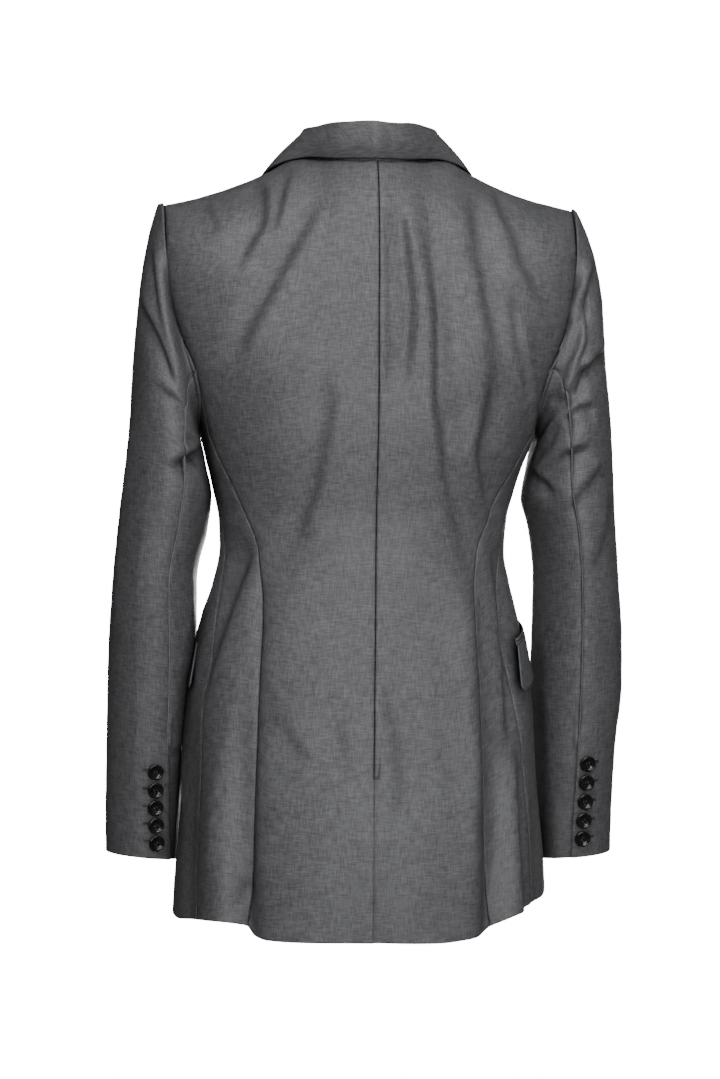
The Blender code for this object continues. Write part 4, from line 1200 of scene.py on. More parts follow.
def sleeve_piece(name, angles, sunk, rows, side, grain=0):
    """A sleeve's wall from the angles of its grid, how far they are sunk, and its rows."""
    rings, row_sunk, seam_rows = rows
    base = sleeve_point(angles, rings[:, None], side)
    middle = side * SLEEVE_MIDDLE + 0 * rings, sleeve_size["middle_y"](rings)
    axis = np.stack([*middle, base[..., 2].mean(axis=1)], axis=-1)
    across, along = np.gradient(base, axis=1), np.gradient(base, axis=0)
    outward = unit(np.cross(across, along))
    away = (base - axis[:, None]) * (1, 1, 0)
    if (outward * away).sum() < 0:
        outward = -outward
    head = HEAD * np.exp(-(((rings - 0.55) / 0.55) ** 2))[:, None]
    head = head * (0.35 + 0.65 * ramp(np.cos(np.radians(angles)), -0.2, 0.7))
    head *= ramp(rings, 0.0, 0.3)[:, None]
    creases, wear = sleeve_creases(base, outward, side)
    proud = creases * ramp(rings, 0.15, 0.8)[:, None]
    proud += wear + head + pucker(rings[:, None] * 16, angles * ROUND_SLEEVE, 0.3)
    # Down in the armhole's seam the pieces meet edge to edge, with no groove left between them.
    sunk = sunk * (1 - row_sunk / row_sunk.max())[:, None]
    face = base + outward * (proud - sunk)[..., None]
    inward = (LOOPS[side](angles) - LOOPS_OUT[side](angles))[:seam_rows]
    face[:seam_rows] += inward * row_sunk[:seam_rows, None, None]
    face[seam_rows:] -= outward[seam_rows:] * row_sunk[seam_rows:, None, None]
    return piece_of_cloth(name, shell_of(face, outward, grain=grain))


def sleeve_pieces(side):
    """The top sleeve, and the under sleeve whose edge is the lap of the cuff's vent."""
    rows = sleeve_rings()
    rings, name = rows[0], SIDES[side]
    seam = sleeve_seam[side](rings)
    free = ramp(rings, CUFF_VENT_RING - 0.05, CUFF_VENT_RING + 0.05)[:, None]
    start = SLEEVE_FRONT_SEAM - 360
    places, sunk = spread((seam - start) * ROUND_SLEEVE, SLEEVE_STEP, SEAM, SEAM)
    edge = len(SEAM["aside"])
    sunk = np.broadcast_to(sunk, places.shape).copy()
    sunk[:, -edge:] += free * (0.15 * (np.arange(edge) > edge - 3) - sunk[:, -edge:])
    sunk -= free * 0.5 * np.exp(-(((places - places[:, -1:]) / 9) ** 2))
    angles = start + places / ROUND_SLEEVE
    top = sleeve_piece(f"sleeve_top_{name}_cloth", angles, sunk, rows, side)
    places, sunk = spread((SLEEVE_FRONT_SEAM - seam) * ROUND_SLEEVE, SLEEVE_STEP, SEAM, SEAM)
    sunk = np.broadcast_to(sunk, places.shape).copy()
    step = CUFF_STEP * ramp(rings, CUFF_VENT_RING - 0.8, CUFF_VENT_RING)[:, None]
    sunk[:, :edge] += free * (step - sunk[:, :edge])
    sunk[:, edge:] += step * (1 - ramp(places[:, edge:], 2, 26))
    shares = np.linspace(1, 0, CUFF_COLUMNS, endpoint=False)
    lap_width = CUFF_LAP * ROUND_SLEEVE * ramp(rings, CUFF_VENT_RING, CUFF_VENT_RING + 0.15)
    lap = -lap_width[:, None] * shares
    lap_sunk = sunk[:, :1] + 2.4 * shares * (1 - free)
    lap_sunk += free * (CUFF_STEP - lap_sunk)
    places = np.concatenate([lap, places], axis=1)
    sunk = np.concatenate([lap_sunk, sunk], axis=1)
    angles = seam[:, None] + places / ROUND_SLEEVE
    under = sleeve_piece(f"sleeve_under_{name}_cloth", angles, sunk, rows, side, CUFF_COLUMNS)
    return top, under


for side in SIDES:
    top_sleeve, under_sleeve = sleeve_pieces(side)
    sheet_of_suiting(top_sleeve, f"sleeve_top_{SIDES[side]}")
    sheet_of_suiting(under_sleeve, f"sleeve_under_{SIDES[side]}")


# --------------------------------------------------------------------------------------
# The lapels. Each is the front's facing rolled back over its own edge: it starts inside,
# turns over the edge in a soft roll that flattens towards the button, and lies on the front.
# --------------------------------------------------------------------------------------

LIE_GAP = 0.7
FACED = 2.0  # lapels, collar and flaps are two layers of suiting pressed together
LAPEL = table(
    "roll_level edge_x edge_level",
    [
        (-326, -14, -330),
        (-300, 6, -308),
        (-262, 33, -277),
        (-214, 63, -236),
        (-164, 90, -190),
        (-122, 109, -146),
        (-92, 117, -110),
        (-74, 116, -88),
    ],
)
LAPEL_LIFT = 3.0  # how far the lapel's roll stands off the front
LAPEL_LIFT_LEVELS = (-300, -200)
LAPEL_LENGTH, LAPEL_WIDTH = 300.0, 100.0
LAPEL_STEP = 3.0  # both ways
# The roll in section, from inside the front round its edge: aside from the edge, and out.
LAPEL_ROLL = table(
    "aside out",
    [(3.5, -4.9), (1.2, -4.8), (-0.8, -4.4), (-2.2, -3.2), (-3.0, -1.4), (-3.3, 0.6), (-2.9, 2.6),
     (-1.6, 4.4), (0.4, 5.5)],
)


def front_point(x, level, side, out=0.0):
    """A point of a front at x from the middle. The left front runs lower than the right one."""
    angles = angle_at(x, np.minimum(level, ROLL), False)
    return body_point(angles, level, side, out - front_sink(side, x))


def lapel(side):
    count = np.arange(len(LAPEL["roll_level"]))
    place = {name: smooth(count, values) for name, values in LAPEL.items()}
    rows, row_sunk = spread(LAPEL_LENGTH, LAPEL_STEP, FOLDED_EDGE, FOLDED_EDGE)
    rows = rows[0] / LAPEL_LENGTH * count[-1]
    roll_level, edge_level = place["roll_level"](rows)[:, None], place["edge_level"](rows)[:, None]
    start = front_edge_x(roll_level[:, 0])[:, None]
    width = place["edge_x"](rows)[:, None] - start
    places, sunk = spread(LAPEL_WIDTH, LAPEL_STEP, table("aside sunk", [(3, 0)]), FOLDED_EDGE)
    share = places[0] / LAPEL_WIDTH
    x = start + width * share
    levels = roll_level + (edge_level - roll_level) * share
    whole = ramp(roll_level, *LAPEL_LIFT_LEVELS)
    roll = LAPEL_LIFT * whole * np.cos(np.radians(90) * share)
    far = np.hypot(width, edge_level - roll_level)
    wave = 0.5 * np.sin(0.045 * levels + 1.0) * ramp(share, 0.4, 1) * whole
    out = LIE_GAP + FACED + roll + wave - sunk - 0.4 * np.sin(np.pi * share) * far / 100
    top_out = LIE_GAP + FACED + LAPEL_LIFT * whole
    size = np.clip(width / 40, 0.25, 1)
    turn_x = start + LAPEL_ROLL["aside"] * size
    turn_out = np.where(LAPEL_ROLL["out"] > 0, LAPEL_ROLL["out"] / 5.7 * top_out, LAPEL_ROLL["out"])
    x = np.concatenate([turn_x, x], axis=1)
    levels = np.concatenate([roll_level + 0 * turn_x, levels], axis=1)
    out = np.concatenate([turn_out, out], axis=1) - row_sunk[:, None] * (x > start)
    face = front_point(x, levels, side, out)
    outward = front_point(x, levels, side, out + 1.0) - face
    outward[:, :4] *= 0
    return piece_of_cloth(f"lapel_{SIDES[side]}_cloth", shell_of(face, outward, FACED - 0.3))


for side in SIDES:
    sheet_of_suiting(lapel(side), f"lapel_{SIDES[side]}")


# --------------------------------------------------------------------------------------
# The collar. It stands up inside the neck, turns over in a soft roll and falls on to the
# back and the shoulders, where its edge lies close to the cloth and throws a thin shadow.
# --------------------------------------------------------------------------------------

# Each row is a cut through it, from the centre back to the lapel.
COLLAR = table(
    "neck_x neck_level fold_x fold_y fold_z edge_x edge_level behind",
    [
        (0, 0, 0, 66, 29.5, 0, -5.0, 1),
        (28, 0, 27, 57, 29.5, 30, -5.2, 1),
        (50, 0, 46, 36, 29.0, 60, -18, 1),
        (62, 0, 57.5, 14, 27.5, 84, -9, 1),
        (65.5, -1.5, 60.5, -12, 23, 98, -8, 0),
        (60, -28, 58, -40, 11, 103, -30, 0),
        (55.5, -50, 54, -64, -13, 104, -52, 0),
        (50.5, -70, 50.5, -81, -41, 106, -80, 0),
    ],
)
COLLAR_LIE = 1.1
NECK_CLEAR = (2.2, -4.0)  # how far inside and above the panels' neck edge the stand starts
COLLAR_NOTCH = 0.62  # the share of the last row where the collar leaves the lapel
COLLAR_TIP_BACK = 0.6  # how many rows short of the last one its free corner lies
COLLAR_BULGE = 3.0
COLLAR_ROLL = 2.5  # half the thickness of the roll
COLLAR_ROW = 27.0  # mm from row to row of its table
COLLAR_DOWN = 42.0  # from the roll to its edge
COLLAR_STEP, COLLAR_DOWN_STEP = 3.0, 2.2
STAND_ROWS, ROLL_ROWS = 9, 11


def collar_rows():
    """The neck, fold and edge points of each row of the table, and the way outwards there."""
    neck, edge = [], []
    for neck_x, neck_level, _, _, _, edge_x, edge_level, behind in zip(*COLLAR.values()):
        for points, x, level, out in (
            (neck, neck_x, neck_level, 0.0),
            (edge, edge_x, edge_level, COLLAR_LIE + FACED),
        ):
            angle = angle_at(x, min(level, ROLL), bool(behind))
            points.append(body_point(angle, level, LEFT, out))
    fold = np.stack([COLLAR["fold_x"], COLLAR["fold_y"], COLLAR["fold_z"]], axis=-1)
    neck, edge = np.array(neck), np.array(edge)
    inward = (neck - edge) * (1, 1, 0)
    inward /= np.linalg.norm(inward, axis=1)[:, None]
    neck = neck + inward * NECK_CLEAR[0] + np.array([0, 0, NECK_CLEAR[1]])
    return neck, fold, edge, -inward


def collar():
    curves = [
        [smooth(np.arange(len(points)), values) for values in points.T] for points in collar_rows()
    ]
    last = len(COLLAR["neck_x"]) - 1
    turns, turn_sunk = spread(2 * last * COLLAR_ROW, COLLAR_STEP, FOLDED_EDGE, FOLDED_EDGE)
    turns = turns[0] / (last * COLLAR_ROW) - 1

    def strip(reach):
        """The neck, fold, edge and outward points along one line of the collar."""
        rows = np.abs(turns) * reach
        found = [np.stack([curve(rows) for curve in part], axis=-1) for part in curves]
        for points in found:
            points[:, 0] *= np.sign(turns)
        return found

    rows, sunk = [], []
    neck, fold, edge, away = strip(last)
    low = fold - np.array([0, 0, COLLAR_ROLL - 1])
    for share in np.linspace(0, 1, STAND_ROWS, endpoint=False):
        rows.append(neck + (low - neck) * share - away * 0.8 * np.sin(np.pi * share))
        sunk.append(0.0)
    for angle in np.radians(np.linspace(0, 180, ROLL_ROWS)):
        out, up = COLLAR_ROLL * (1 - np.cos(angle)), COLLAR_ROLL * np.sin(angle)
        rows.append(low + away * out + np.array([0, 0, up]))
        sunk.append(0.0)
    places, place_sunk = spread(COLLAR_DOWN, COLLAR_DOWN_STEP, CUT, FOLDED_EDGE)
    for share, down in zip(places[0][1:] / COLLAR_DOWN, place_sunk[1:]):
        neck, fold, edge, away = strip(last - COLLAR_TIP_BACK * ramp(share, COLLAR_NOTCH, 1))
        low = fold - np.array([0, 0, COLLAR_ROLL - 1])
        bulge = 2 * COLLAR_ROLL * (1 - share) + COLLAR_BULGE * np.sin(np.pi * share)
        dip = np.sin(turns * 9 + 0.6) + 0.6 * np.sin(turns * 23 + 2.0)
        wave = 0.55 * dip[:, None] * np.sin(np.pi * min(share * 1.1, 1.0))
        rows.append(low * (1 - share) + edge * share + (bulge + wave) * away)
        sunk.append(down)
    face = np.array(rows)
    beside_roll = np.exp(-(((np.arange(len(face)) - STAND_ROWS - ROLL_ROWS // 2) / 6) ** 2))
    uneven = 0.4 * np.sin(turns * 17) + 0.35 * np.sin(turns * 31 + 1)
    face[:, :, 2] += uneven * beside_roll[:, None]
    outward = np.broadcast_to(away, face.shape).copy()
    outward[: STAND_ROWS + ROLL_ROWS] = 0
    normal = unit(np.cross(np.gradient(face, axis=1), np.gradient(face, axis=0)))
    normal *= np.sign((normal * outward).sum())
    face -= normal * (np.array(sunk)[:, None] + turn_sunk[None])[..., None]
    return piece_of_cloth("collar_cloth", shell_of(face, outward, FACED - 0.2))


sheet_of_suiting(collar(), "collar")


# --------------------------------------------------------------------------------------
# The pockets. Each is a slanted mouth bound with two narrow jets, with a flap that hangs
# from between them.
# --------------------------------------------------------------------------------------

POCKET_START = {LEFT: 87.0, RIGHT: 70.0}
POCKET_SPAN = 50.0
POCKET_LEVELS = (-438.0, -404.0)
FLAP_LENGTH = 125.0
FLAP_DEPTH = 42.0
FLAP_LEAN = 4.0
FLAP_CORNER = 7.0  # the radius of the flap's corners
JET = 3.0
CLOTH = 1.5


def pocket_point(share, down, lean, side, out):
    """A point share of the way along the mouth and down from it, out from the front."""
    low, high = POCKET_LEVELS
    angles = POCKET_START[side] + POCKET_SPAN * share - lean
    return body_point(angles, low + (high - low) * share - down, side, out)


def pocket_jets(side):
    """The two jets, one above the other, each a fold of suiting rounded over."""
    shells = []
    share = np.linspace(0, 1, 60)[None]
    for top in (0.0, JET + 0.15):
        turn = np.radians(np.linspace(4, 176, 9))[:, None]
        down = top + JET / 2 * (1 - np.cos(turn))
        out = LIE_GAP + 0.35 + 1.15 * np.sin(turn) + 0 * share
        end = 1 - np.exp(-(np.minimum(share, 1 - share) * FLAP_LENGTH / 0.9)) * 0.6
        face = pocket_point(share, down + 0 * share, 0, side, out * end)
        outward = pocket_point(share, down + 0 * share, 0, side, out * end + 1) - face
        shells.append(shell_of(face, outward, 0.9))
    return piece_of_cloth(f"pocket_welt_{SIDES[side]}_cloth", *shells)


def pocket_flap(side):
    places, sunk = spread(FLAP_LENGTH, 2.4, FOLDED_EDGE, FOLDED_EDGE)
    downs, down_sunk = spread(FLAP_DEPTH, 2.2, CUT, FOLDED_EDGE)
    share, down = places / FLAP_LENGTH, downs.T / FLAP_DEPTH
    end = np.minimum(places, FLAP_LENGTH - places)
    short = FLAP_CORNER - np.sqrt(np.clip(FLAP_CORNER**2 - (FLAP_CORNER - end).clip(0) ** 2, 0, None))
    deep = down * (FLAP_DEPTH - short)
    lean = FLAP_LEAN * down + 0 * share
    curl = 1.0 * ramp(down, 0.5, 1) + 0.5 * np.sin(share * 7 + 1) * down
    out = LIE_GAP + CLOTH + 0.4 + curl - sunk - down_sunk[:, None]
    face = pocket_point(share + 0 * down, 2 * JET + 0.4 + deep, lean, side, out)
    outward = pocket_point(share + 0 * down, 2 * JET + 0.4 + deep, lean, side, out + 1) - face
    return piece_of_cloth(f"pocket_flap_{SIDES[side]}_cloth", shell_of(face, outward, CLOTH))


for side in SIDES:
    sheet_of_suiting(pocket_jets(side), f"pocket_welt_{SIDES[side]}")
    sheet_of_suiting(pocket_flap(side), f"pocket_flap_{SIDES[side]}")


# --------------------------------------------------------------------------------------
# The buttons. Each is turned from dark resin with a rounded rim round a dished middle and
# four holes, and is sewn on with two bars of thread over a short wound shank.
# --------------------------------------------------------------------------------------

CUFF_BUTTONS = {
    LEFT: table(
        "ring off_seam",
        [(11.42, -20), (11.75, -21), (12.07, -22), (12.39, -22.5), (12.71, -23)],
    ),
    RIGHT: table(
        "ring off_seam",
        [(11.27, -14), (11.61, -14), (11.96, -14), (12.31, -14), (12.65, -14)],
    ),
}
CUFF_BUTTON_RADIUS = 7.5
CUFF_BUTTON_CLEAR = 0.75
FRONT_BUTTON_RADIUS = 11.0
FRONT_BUTTON_HEIGHT = -345.0
FRONT_BUTTON_CLEAR = 0.9
HOLE_OUT = 0.17  # from the middle to a hole's middle, as a share of the radius, both ways
HOLE_RADIUS = 0.085  # as a share of the radius too
SEWING = 0.3  # the radius of the thread
SHANK = 1.35  # the radius of the core that it is wound round
# The section from the middle of the back to the middle of the face, as shares of the radius.
BUTTON_SECTION = [
    (0.00, 0.00), (0.72, 0.00), (0.84, 0.02), (0.93, 0.08), (0.985, 0.17), (1.00, 0.25),
    (0.99, 0.33), (0.95, 0.395), (0.88, 0.425), (0.80, 0.42), (0.73, 0.385), (0.68, 0.33),
    (0.62, 0.29), (0.50, 0.265), (0.30, 0.25), (0.00, 0.25),
]

def clouded(name, dark, pale, scale, detail, roughness):
    """A material with darker and paler places in it, scale of them to a metre."""
    made, tree, shader = new_material(name)
    place = add(tree, "ShaderNodeTexCoord").outputs["Object"]
    noise = add(tree, "ShaderNodeTexNoise", {"Vector": place, "Scale": scale, "Detail": detail})
    tree.links.new(blend(tree, noise.outputs["Fac"], dark, pale), shader.inputs["Base Color"])
    shader.inputs["Roughness"].default_value = roughness
    return made, shader


# Faint darker and paler clouds in the cast resin, which keep a button from looking flat.
resin, resin_shader = clouded("polished_polyester_resin", "#0c0c0d", "#232324", 160.0, 2.0, 0.16)
resin_shader.inputs["IOR"].default_value = 1.55
# Twisted thread is darker between its strands, which are about half a millimetre apart.
thread_material, _ = clouded("twisted_polyester_thread", "#2b2b2d", "#454547", 2200.0, 0.0, 0.55)


def mesh_object(name, vertices, faces, material):
    """A smooth mesh object from vertices in mm."""
    mesh = bpy.data.meshes.new(name)
    mesh.from_pydata((np.asarray(vertices, float) * MM).tolist(), [], faces)
    mesh.shade_smooth()
    mesh.materials.append(material)
    obj = bpy.data.objects.new(name, mesh)
    bpy.context.scene.collection.objects.link(obj)
    return obj


def turned(section, sides=64):
    """Vertices and faces of a closed section turned round z. It starts and ends on the axis."""
    inner = np.array(section[1:-1])
    angles = np.radians(np.arange(sides) * 360 / sides)
    rings = [
        np.stack([r * np.cos(angles), r * np.sin(angles), 0 * angles + z], axis=-1)
        for r, z in inner
    ]
    points = np.concatenate([[[0, 0, section[0][1]]]] + rings + [[[0, 0, section[-1][1]]]])
    top, faces = len(points) - 1, []
    for i in range(sides):
        j = (i + 1) % sides
        faces.append((0, 1 + j, 1 + i))
        for ring in range(len(inner) - 1):
            a, b = 1 + ring * sides, 1 + (ring + 1) * sides
            faces.append((a + i, a + j, b + j, b + i))
        faces.append((top - sides + i, top - sides + j, top))
    return points, faces


def tube(path, radius, sides=8):
    """Vertices and faces of a closed tube along a path."""
    path = np.asarray(path, float)
    along = unit(np.gradient(path, axis=0))
    first = unit(np.cross(along, (0.13, 0.27, 0.95)))
    second = np.cross(along, first)
    angles = np.radians(np.arange(sides) * 360 / sides)
    reach = np.full(len(path), float(radius))
    reach[[0, -1]] *= 0.55
    rings = (
        path[:, None]
        + reach[:, None, None] * np.cos(angles)[None, :, None] * first[:, None]
        + reach[:, None, None] * np.sin(angles)[None, :, None] * second[:, None]
    )
    faces = [tuple(range(sides))[::-1]]
    for ring in range(len(path) - 1):
        a, b = ring * sides, (ring + 1) * sides
        faces += [(a + i, a + (i + 1) % sides, b + (i + 1) % sides, b + i) for i in range(sides)]
    faces.append(tuple(range(len(path) * sides - sides, len(path) * sides)))
    return rings.reshape(-1, 3), faces


def joined(parts):
    """One list of vertices and one of faces from several."""
    points, faces, start = [], [], 0
    for vertices, quads in parts:
        points.append(vertices)
        faces += [tuple(index + start for index in face) for face in quads]
        start += len(vertices)
    return np.concatenate(points), faces


def made_plain(obj):
    """The object's shape with its modifiers, as a plain mesh."""
    graph = bpy.context.evaluated_depsgraph_get()
    mesh = bpy.data.meshes.new_from_object(obj.evaluated_get(graph), depsgraph=graph)
    obj.modifiers.clear()
    obj.data = mesh
    return mesh


def button_mesh(radius):
    """A button at the origin, looking up z."""
    body = mesh_object("button_body", *turned(np.array(BUTTON_SECTION) * radius), resin)
    holes = []
    for x, y in ((1, 1), (1, -1), (-1, 1), (-1, -1)):
        across = np.array([x, y, 0]) * HOLE_OUT * radius
        path = across + [(0, 0, -1), (0, 0, 0.3 * radius), (0, 0, 0.6 * radius)]
        holes.append(tube(path, HOLE_RADIUS * radius, 20))
    drill = mesh_object("button_drill", *joined(holes), resin)
    cut = body.modifiers.new("holes", "BOOLEAN")
    cut.operation, cut.object, cut.solver = "DIFFERENCE", drill, "EXACT"
    bpy.context.view_layer.update()
    mesh = made_plain(body)
    for used in (body, drill):
        bpy.data.objects.remove(used)
    return mesh


def sewing_mesh(radius, clear):
    """The thread of a button at the origin: two bars through its holes and a wound shank."""
    out, top = HOLE_OUT * radius, 0.25 * radius
    parts = []
    for x in (-out, out):
        for aside in (-0.22, 0.22):
            run = np.radians(np.linspace(-90, 90, 9))
            y = out * np.sin(run)
            z = top - 1.0 + 1.32 * np.cos(run) ** 0.6
            parts.append(tube(np.stack([x + aside + 0 * y, y, z], axis=-1), SEWING))
    for z in np.arange(-clear - 0.5, 0.1, 0.34):
        turn = np.radians(np.linspace(0, 350, 20))
        ring = np.stack([1.5 * np.cos(turn), 1.5 * np.sin(turn), z + 0 * turn], axis=-1)
        parts.append(tube(ring, SEWING))
    core = [(0, 0, -clear - 0.9), (0, 0, -0.3), (0, 0, 0.3)]
    parts.append(tube(core, SHANK, 16))
    obj = mesh_object("sewing", *joined(parts), thread_material)
    mesh = obj.data
    bpy.data.objects.remove(obj)
    return mesh


def surface_frame(point_at, first, second, step=0.01):
    """The point and the outward direction of a surface at two coordinates."""
    here = point_at(first, second, 0.0)
    along = point_at(first + step, second, 0.0) - here
    up = point_at(first, second + step, 0.0) - here
    outward = np.cross(along, up)
    outward *= np.sign(outward @ (point_at(first, second, 1.0) - here))
    return here, outward / np.linalg.norm(outward)


def seated(name, mesh, seat, outward, turn=0.0):
    """A copy of a mesh with its z along outward and its origin at seat."""
    copy = mesh.copy()
    way = Vector(outward).to_track_quat("Z", "Y").to_matrix().to_4x4()
    way = way @ Matrix.Rotation(np.radians(turn), 4, "Z")
    way.translation = Vector(seat) * MM
    copy.transform(way)
    obj = bpy.data.objects.new(name, copy)
    bpy.context.scene.collection.objects.link(obj)
    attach(obj, "root")
    return obj


def sew_on(node, meshes, seat, outward, turn):
    """A button with its thread, in place of a CAD node."""
    button = seated(f"{node}_resin", meshes[0], seat, outward, turn)
    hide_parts(node)
    thread = seated(f"{node}_thread", meshes[1], seat, outward, turn)


cuff_meshes = (
    button_mesh(CUFF_BUTTON_RADIUS),
    sewing_mesh(CUFF_BUTTON_RADIUS, CUFF_BUTTON_CLEAR),
)
for side in SIDES:
    for number, (ring, off_seam) in enumerate(zip(*CUFF_BUTTONS[side].values()), 1):
        angle = sleeve_seam[side](ring) + off_seam
        here, outward = surface_frame(
            lambda a, r, out: sleeve_point(a, r, side, out), angle, ring
        )
        seat = here + outward * CUFF_BUTTON_CLEAR
        node = f"cuff_button_{SIDES[side]}_{number}"
        sew_on(node, cuff_meshes, seat, outward, 11.0 * number)

angle = angle_at(0.0, FRONT_BUTTON_HEIGHT, False)
here, outward = surface_frame(
    lambda a, level, out: body_point(a, level, RIGHT, out), angle, FRONT_BUTTON_HEIGHT
)
front_meshes = (
    button_mesh(FRONT_BUTTON_RADIUS),
    sewing_mesh(FRONT_BUTTON_RADIUS, FRONT_BUTTON_CLEAR),
)
sew_on("front_button", front_meshes, here + outward * FRONT_BUTTON_CLEAR, outward, 8.0)


# --------------------------------------------------------------------------------------
# The hand stitches: keyhole buttonholes beside the buttons, and the line that holds the
# top of the back vent. They are all repeats of one small stitch along a line.
# --------------------------------------------------------------------------------------

def stitch_tree():
    """Repeats of a short stitch along a line of points that know which way is outwards."""
    tree = bpy.data.node_groups.new("stitches", "GeometryNodeTree")
    face = tree.interface
    face.new_socket("Geometry", in_out="INPUT", socket_type="NodeSocketGeometry")
    for name in ("Spacing", "Length", "Thickness", "Turn"):
        face.new_socket(name, in_out="INPUT", socket_type="NodeSocketFloat")
    face.new_socket("Thread", in_out="INPUT", socket_type="NodeSocketMaterial")
    face.new_socket("Geometry", in_out="OUTPUT", socket_type="NodeSocketGeometry")
    given = tree.nodes.new("NodeGroupInput").outputs
    line = add(tree, "GeometryNodeMeshToCurve", {"Mesh": given["Geometry"]}).outputs["Curve"]
    even = add(
        tree, "GeometryNodeCurveToPoints", {"Curve": line, "Length": given["Spacing"]},
        mode="LENGTH",
    )
    outward = add(
        tree, "GeometryNodeInputNamedAttribute", {"Name": "outward"}, data_type="FLOAT_VECTOR"
    ).outputs["Attribute"]
    upright = add(tree, "FunctionNodeAlignRotationToVector", {"Vector": outward}, axis="Z")
    along = add(
        tree,
        "FunctionNodeAlignRotationToVector",
        {"Rotation": upright.outputs["Rotation"], "Vector": even.outputs["Tangent"]},
        axis="X",
        pivot_axis="Z",
    ).outputs["Rotation"]
    spin = add(tree, "ShaderNodeCombineXYZ", {"Z": given["Turn"]}).outputs["Vector"]
    spun = add(tree, "FunctionNodeEulerToRotation", {"Euler": spin}).outputs["Rotation"]
    turned_to = add(
        tree, "FunctionNodeRotateRotation", {"Rotation": along, "Rotate By": spun},
        rotation_space="LOCAL",
    ).outputs["Rotation"]
    jitter = add(
        tree, "FunctionNodeRandomValue", {2: 0.88, 3: 1.12, "Seed": 7}, data_type="FLOAT"
    ).outputs[1]
    long = add(tree, "ShaderNodeMath", {0: given["Length"], 1: jitter}, operation="MULTIPLY")
    size = add(
        tree, "ShaderNodeCombineXYZ",
        {"X": long.outputs[0], "Y": given["Thickness"], "Z": given["Thickness"]},
    ).outputs["Vector"]
    bead = add(
        tree, "GeometryNodeMeshUVSphere", {"Segments": 10, "Rings": 6, "Radius": 0.5}
    ).outputs["Mesh"]
    copies = add(
        tree,
        "GeometryNodeInstanceOnPoints",
        {"Points": even.outputs["Points"], "Instance": bead, "Rotation": turned_to, "Scale": size},
    ).outputs["Instances"]
    real = add(tree, "GeometryNodeRealizeInstances", {"Geometry": copies}).outputs["Geometry"]
    done = add(
        tree, "GeometryNodeSetMaterial", {"Geometry": real, "Material": given["Thread"]}
    ).outputs["Geometry"]
    add(tree, "NodeGroupOutput", {"Geometry": done})
    return tree


stitches = stitch_tree()


def stitch_along(name, points, outward, spacing, length, thick, turn):
    """A row of stitches along points in mm. The other sizes are in mm, and turn in degrees."""
    obj = mesh_object(name, points, [], thread_material)
    mesh = obj.data
    mesh.clear_geometry()
    pairs = [(i, i + 1) for i in range(len(points) - 1)]
    mesh.from_pydata((np.asarray(points) * MM).tolist(), pairs, [])
    mesh.attributes.new("outward", "FLOAT_VECTOR", "POINT").data.foreach_set(
        "vector", np.asarray(outward, np.float32).reshape(-1)
    )
    repeat = obj.modifiers.new("stitches", "NODES")
    repeat.node_group = stitches
    values = {
        "Spacing": spacing * MM,
        "Length": length * MM,
        "Thickness": thick * MM,
        "Turn": float(np.radians(turn)),
        "Thread": thread_material,
    }
    for socket in stitches.interface.items_tree:
        if socket.in_out == "INPUT" and socket.name in values:
            repeat[socket.identifier] = values[socket.name]
    bpy.context.view_layer.update()
    made_plain(obj).shade_smooth()
    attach(obj, "root")


BUTTONHOLE = 16.0  # from the middle of the eye to the far end
EYE = 1.5
SLIT = 0.55  # half the space between its two rows of stitches


def buttonhole_line():
    """A keyhole: once round it, as steps along and across from the middle of its eye."""
    start = np.degrees(np.arcsin(SLIT / EYE))
    turn = np.radians(np.linspace(start, 360 - start, 25))
    eye = np.stack([EYE * np.cos(turn), EYE * np.sin(turn)], axis=-1)
    there = np.linspace(EYE, BUTTONHOLE, 22)[1:, None]
    upper = np.concatenate([there[::-1], 0 * there + SLIT], axis=1)
    lower = np.concatenate([there, 0 * there - SLIT], axis=1)
    return np.concatenate([upper, eye, lower])


def cuff_buttonhole(side, ring, off_seam, number):
    line = buttonhole_line()
    angle = sleeve_seam[side](ring) + off_seam
    angles = angle - line[:, 0] / ROUND_SLEEVE
    rings = ring + line[:, 1] / ALONG_SLEEVE - 0.03
    out = 0.25 + sleeve_proud(angles, rings, side)
    points = sleeve_point(angles, rings, side, out)
    outward = unit(sleeve_point(angles, rings, side, out + 1) - points)
    name = f"cuff_buttonhole_{SIDES[side]}_{number}"
    stitch_along(name, points, outward, 0.62, 1.5, 0.5, 90)


def sleeve_proud(angles, rings, side):
    """How far the folds move the sleeve's cloth out."""
    base = sleeve_point(angles, rings, side)
    outward = unit(sleeve_point(angles, rings, side, 1.0) - base)
    creases, wear = sleeve_creases(base, outward, side)
    return creases + wear


for side in SIDES:
    for number, (ring, off_seam) in enumerate(zip(*CUFF_BUTTONS[side].values()), 1):
        cuff_buttonhole(side, ring, off_seam, number)

# The front buttonhole runs from the button away from the front's edge.
line = buttonhole_line() * (1.35, 1.2)
x, level = line[:, 0], FRONT_BUTTON_HEIGHT + line[:, 1]
angles = angle_at(x, level, False)
points = body_point(angles, level, RIGHT, 0.35)
outward = unit(body_point(angles, level, RIGHT, 1.35) - points)
stitch_along("front_buttonhole", points, outward, 0.7, 1.9, 0.6, 90)

# The vent is held by a slanting line of stitches, from the centre seam out and down.
share = np.linspace(0, 1, 24)
x, level = 5 + 41 * share, -554 - 19 * share
angles = angle_at(x, level, True)
base, outward = face_of_body(angles, level, LEFT)
lift = folds_at(base, outward, BODY_FOLDS[LEFT]) + ripple(base) - 0.15
points = body_point(angles, level, LEFT, lift)
stitch_along("vent_stitches", points, outward, 2.3, 1.9, 0.5, 0)


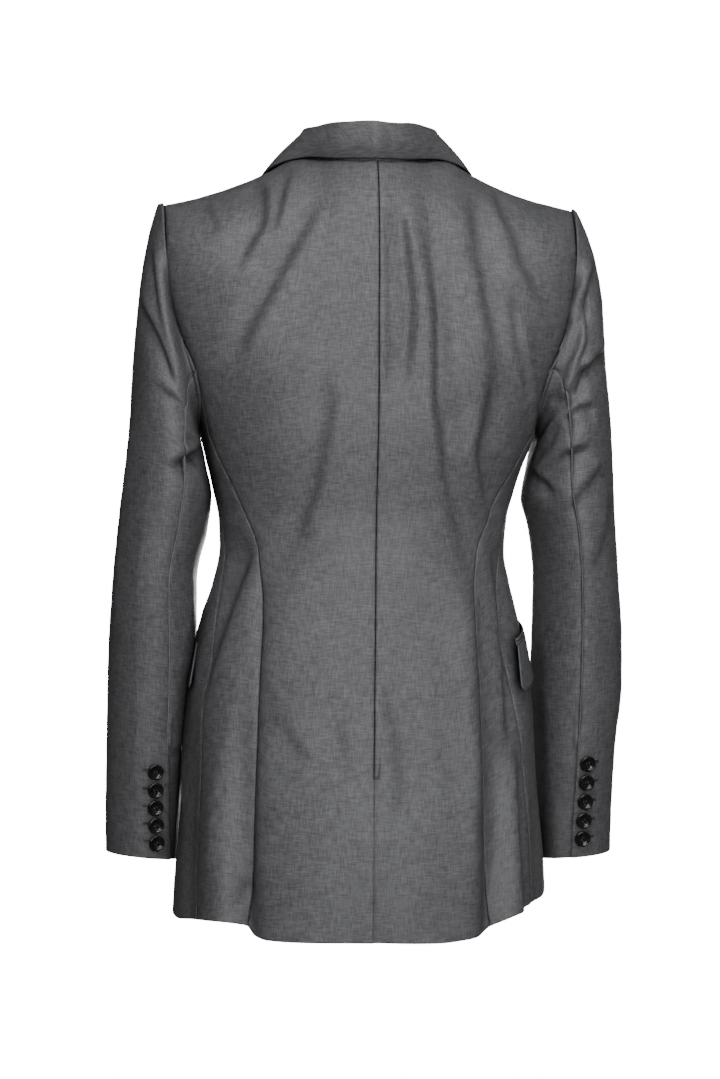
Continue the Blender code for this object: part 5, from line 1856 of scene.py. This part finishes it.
# --------------------------------------------------------------------------------------
# The studio. A bright sweep all round, which only the camera sees, and soft lights: a
# strong one from close beside the view, and one from the other side for the front.
# --------------------------------------------------------------------------------------

FLOOR = -1500.0
SWEEP = 9000.0

glow, _, glow_shader = new_material("white_paper_sweep")
# Paper that is lit from behind, brighter than anything on the blazer.
glow_shader.inputs["Base Color"].default_value = linear("#f6f6f5")
glow_shader.inputs["Roughness"].default_value = 0.9
glow_shader.inputs["Emission Color"].default_value = linear("#ffffff")
glow_shader.inputs["Emission Strength"].default_value = 16.0
sweep_section = [(0, FLOOR), (SWEEP * 0.7, FLOOR), (SWEEP * 0.9, FLOOR * 0.85), (SWEEP, 0.0),
                 (SWEEP * 0.9, SWEEP * 0.6), (SWEEP * 0.5, SWEEP * 0.9), (0, SWEEP)]
sweep = mesh_object("sweep", *turned(sweep_section), glow)
for sees in ("diffuse", "glossy", "transmission", "shadow"):
    setattr(sweep, f"visible_{sees}", False)

# Where each softbox stands, in metres from the blazer's middle, its size and its power.
SOFTBOXES = table(
    "x y z wide tall power aim spread",
    [
        (-0.4, 5.5, -0.2, 2.4, 1.8, 11.3, 0.05, 44),
        (0.0, 3.0, 3.2, 3.0, 2.0, 115, -0.4, 180),
        (-0.9, -5.0, -0.4, 2.4, 1.6, 200, -0.4, 180),
    ],
)
for number, place in enumerate(zip(*SOFTBOXES.values()), 1):
    x, y, z, wide, tall, power, aim, spread_angle = place
    softbox = bpy.data.lights.new(f"softbox_{number}", "AREA")
    softbox.shape = "RECTANGLE"
    softbox.size, softbox.size_y, softbox.energy = wide, tall, power
    softbox.spread = np.radians(spread_angle)
    stand = bpy.data.objects.new(f"softbox_{number}", softbox)
    stand.location = (x, y, z)
    towards = Vector((0, 0, aim)) - stand.location
    stand.rotation_euler = towards.to_track_quat("-Z", "Y").to_euler()
    bpy.context.scene.collection.objects.link(stand)

world = bpy.data.worlds.new("dim_room")
world.use_nodes = True
world.node_tree.nodes["Background"].inputs["Color"].default_value = linear("#ffffff")
world.node_tree.nodes["Background"].inputs["Strength"].default_value = 0.075
bpy.context.scene.world = world
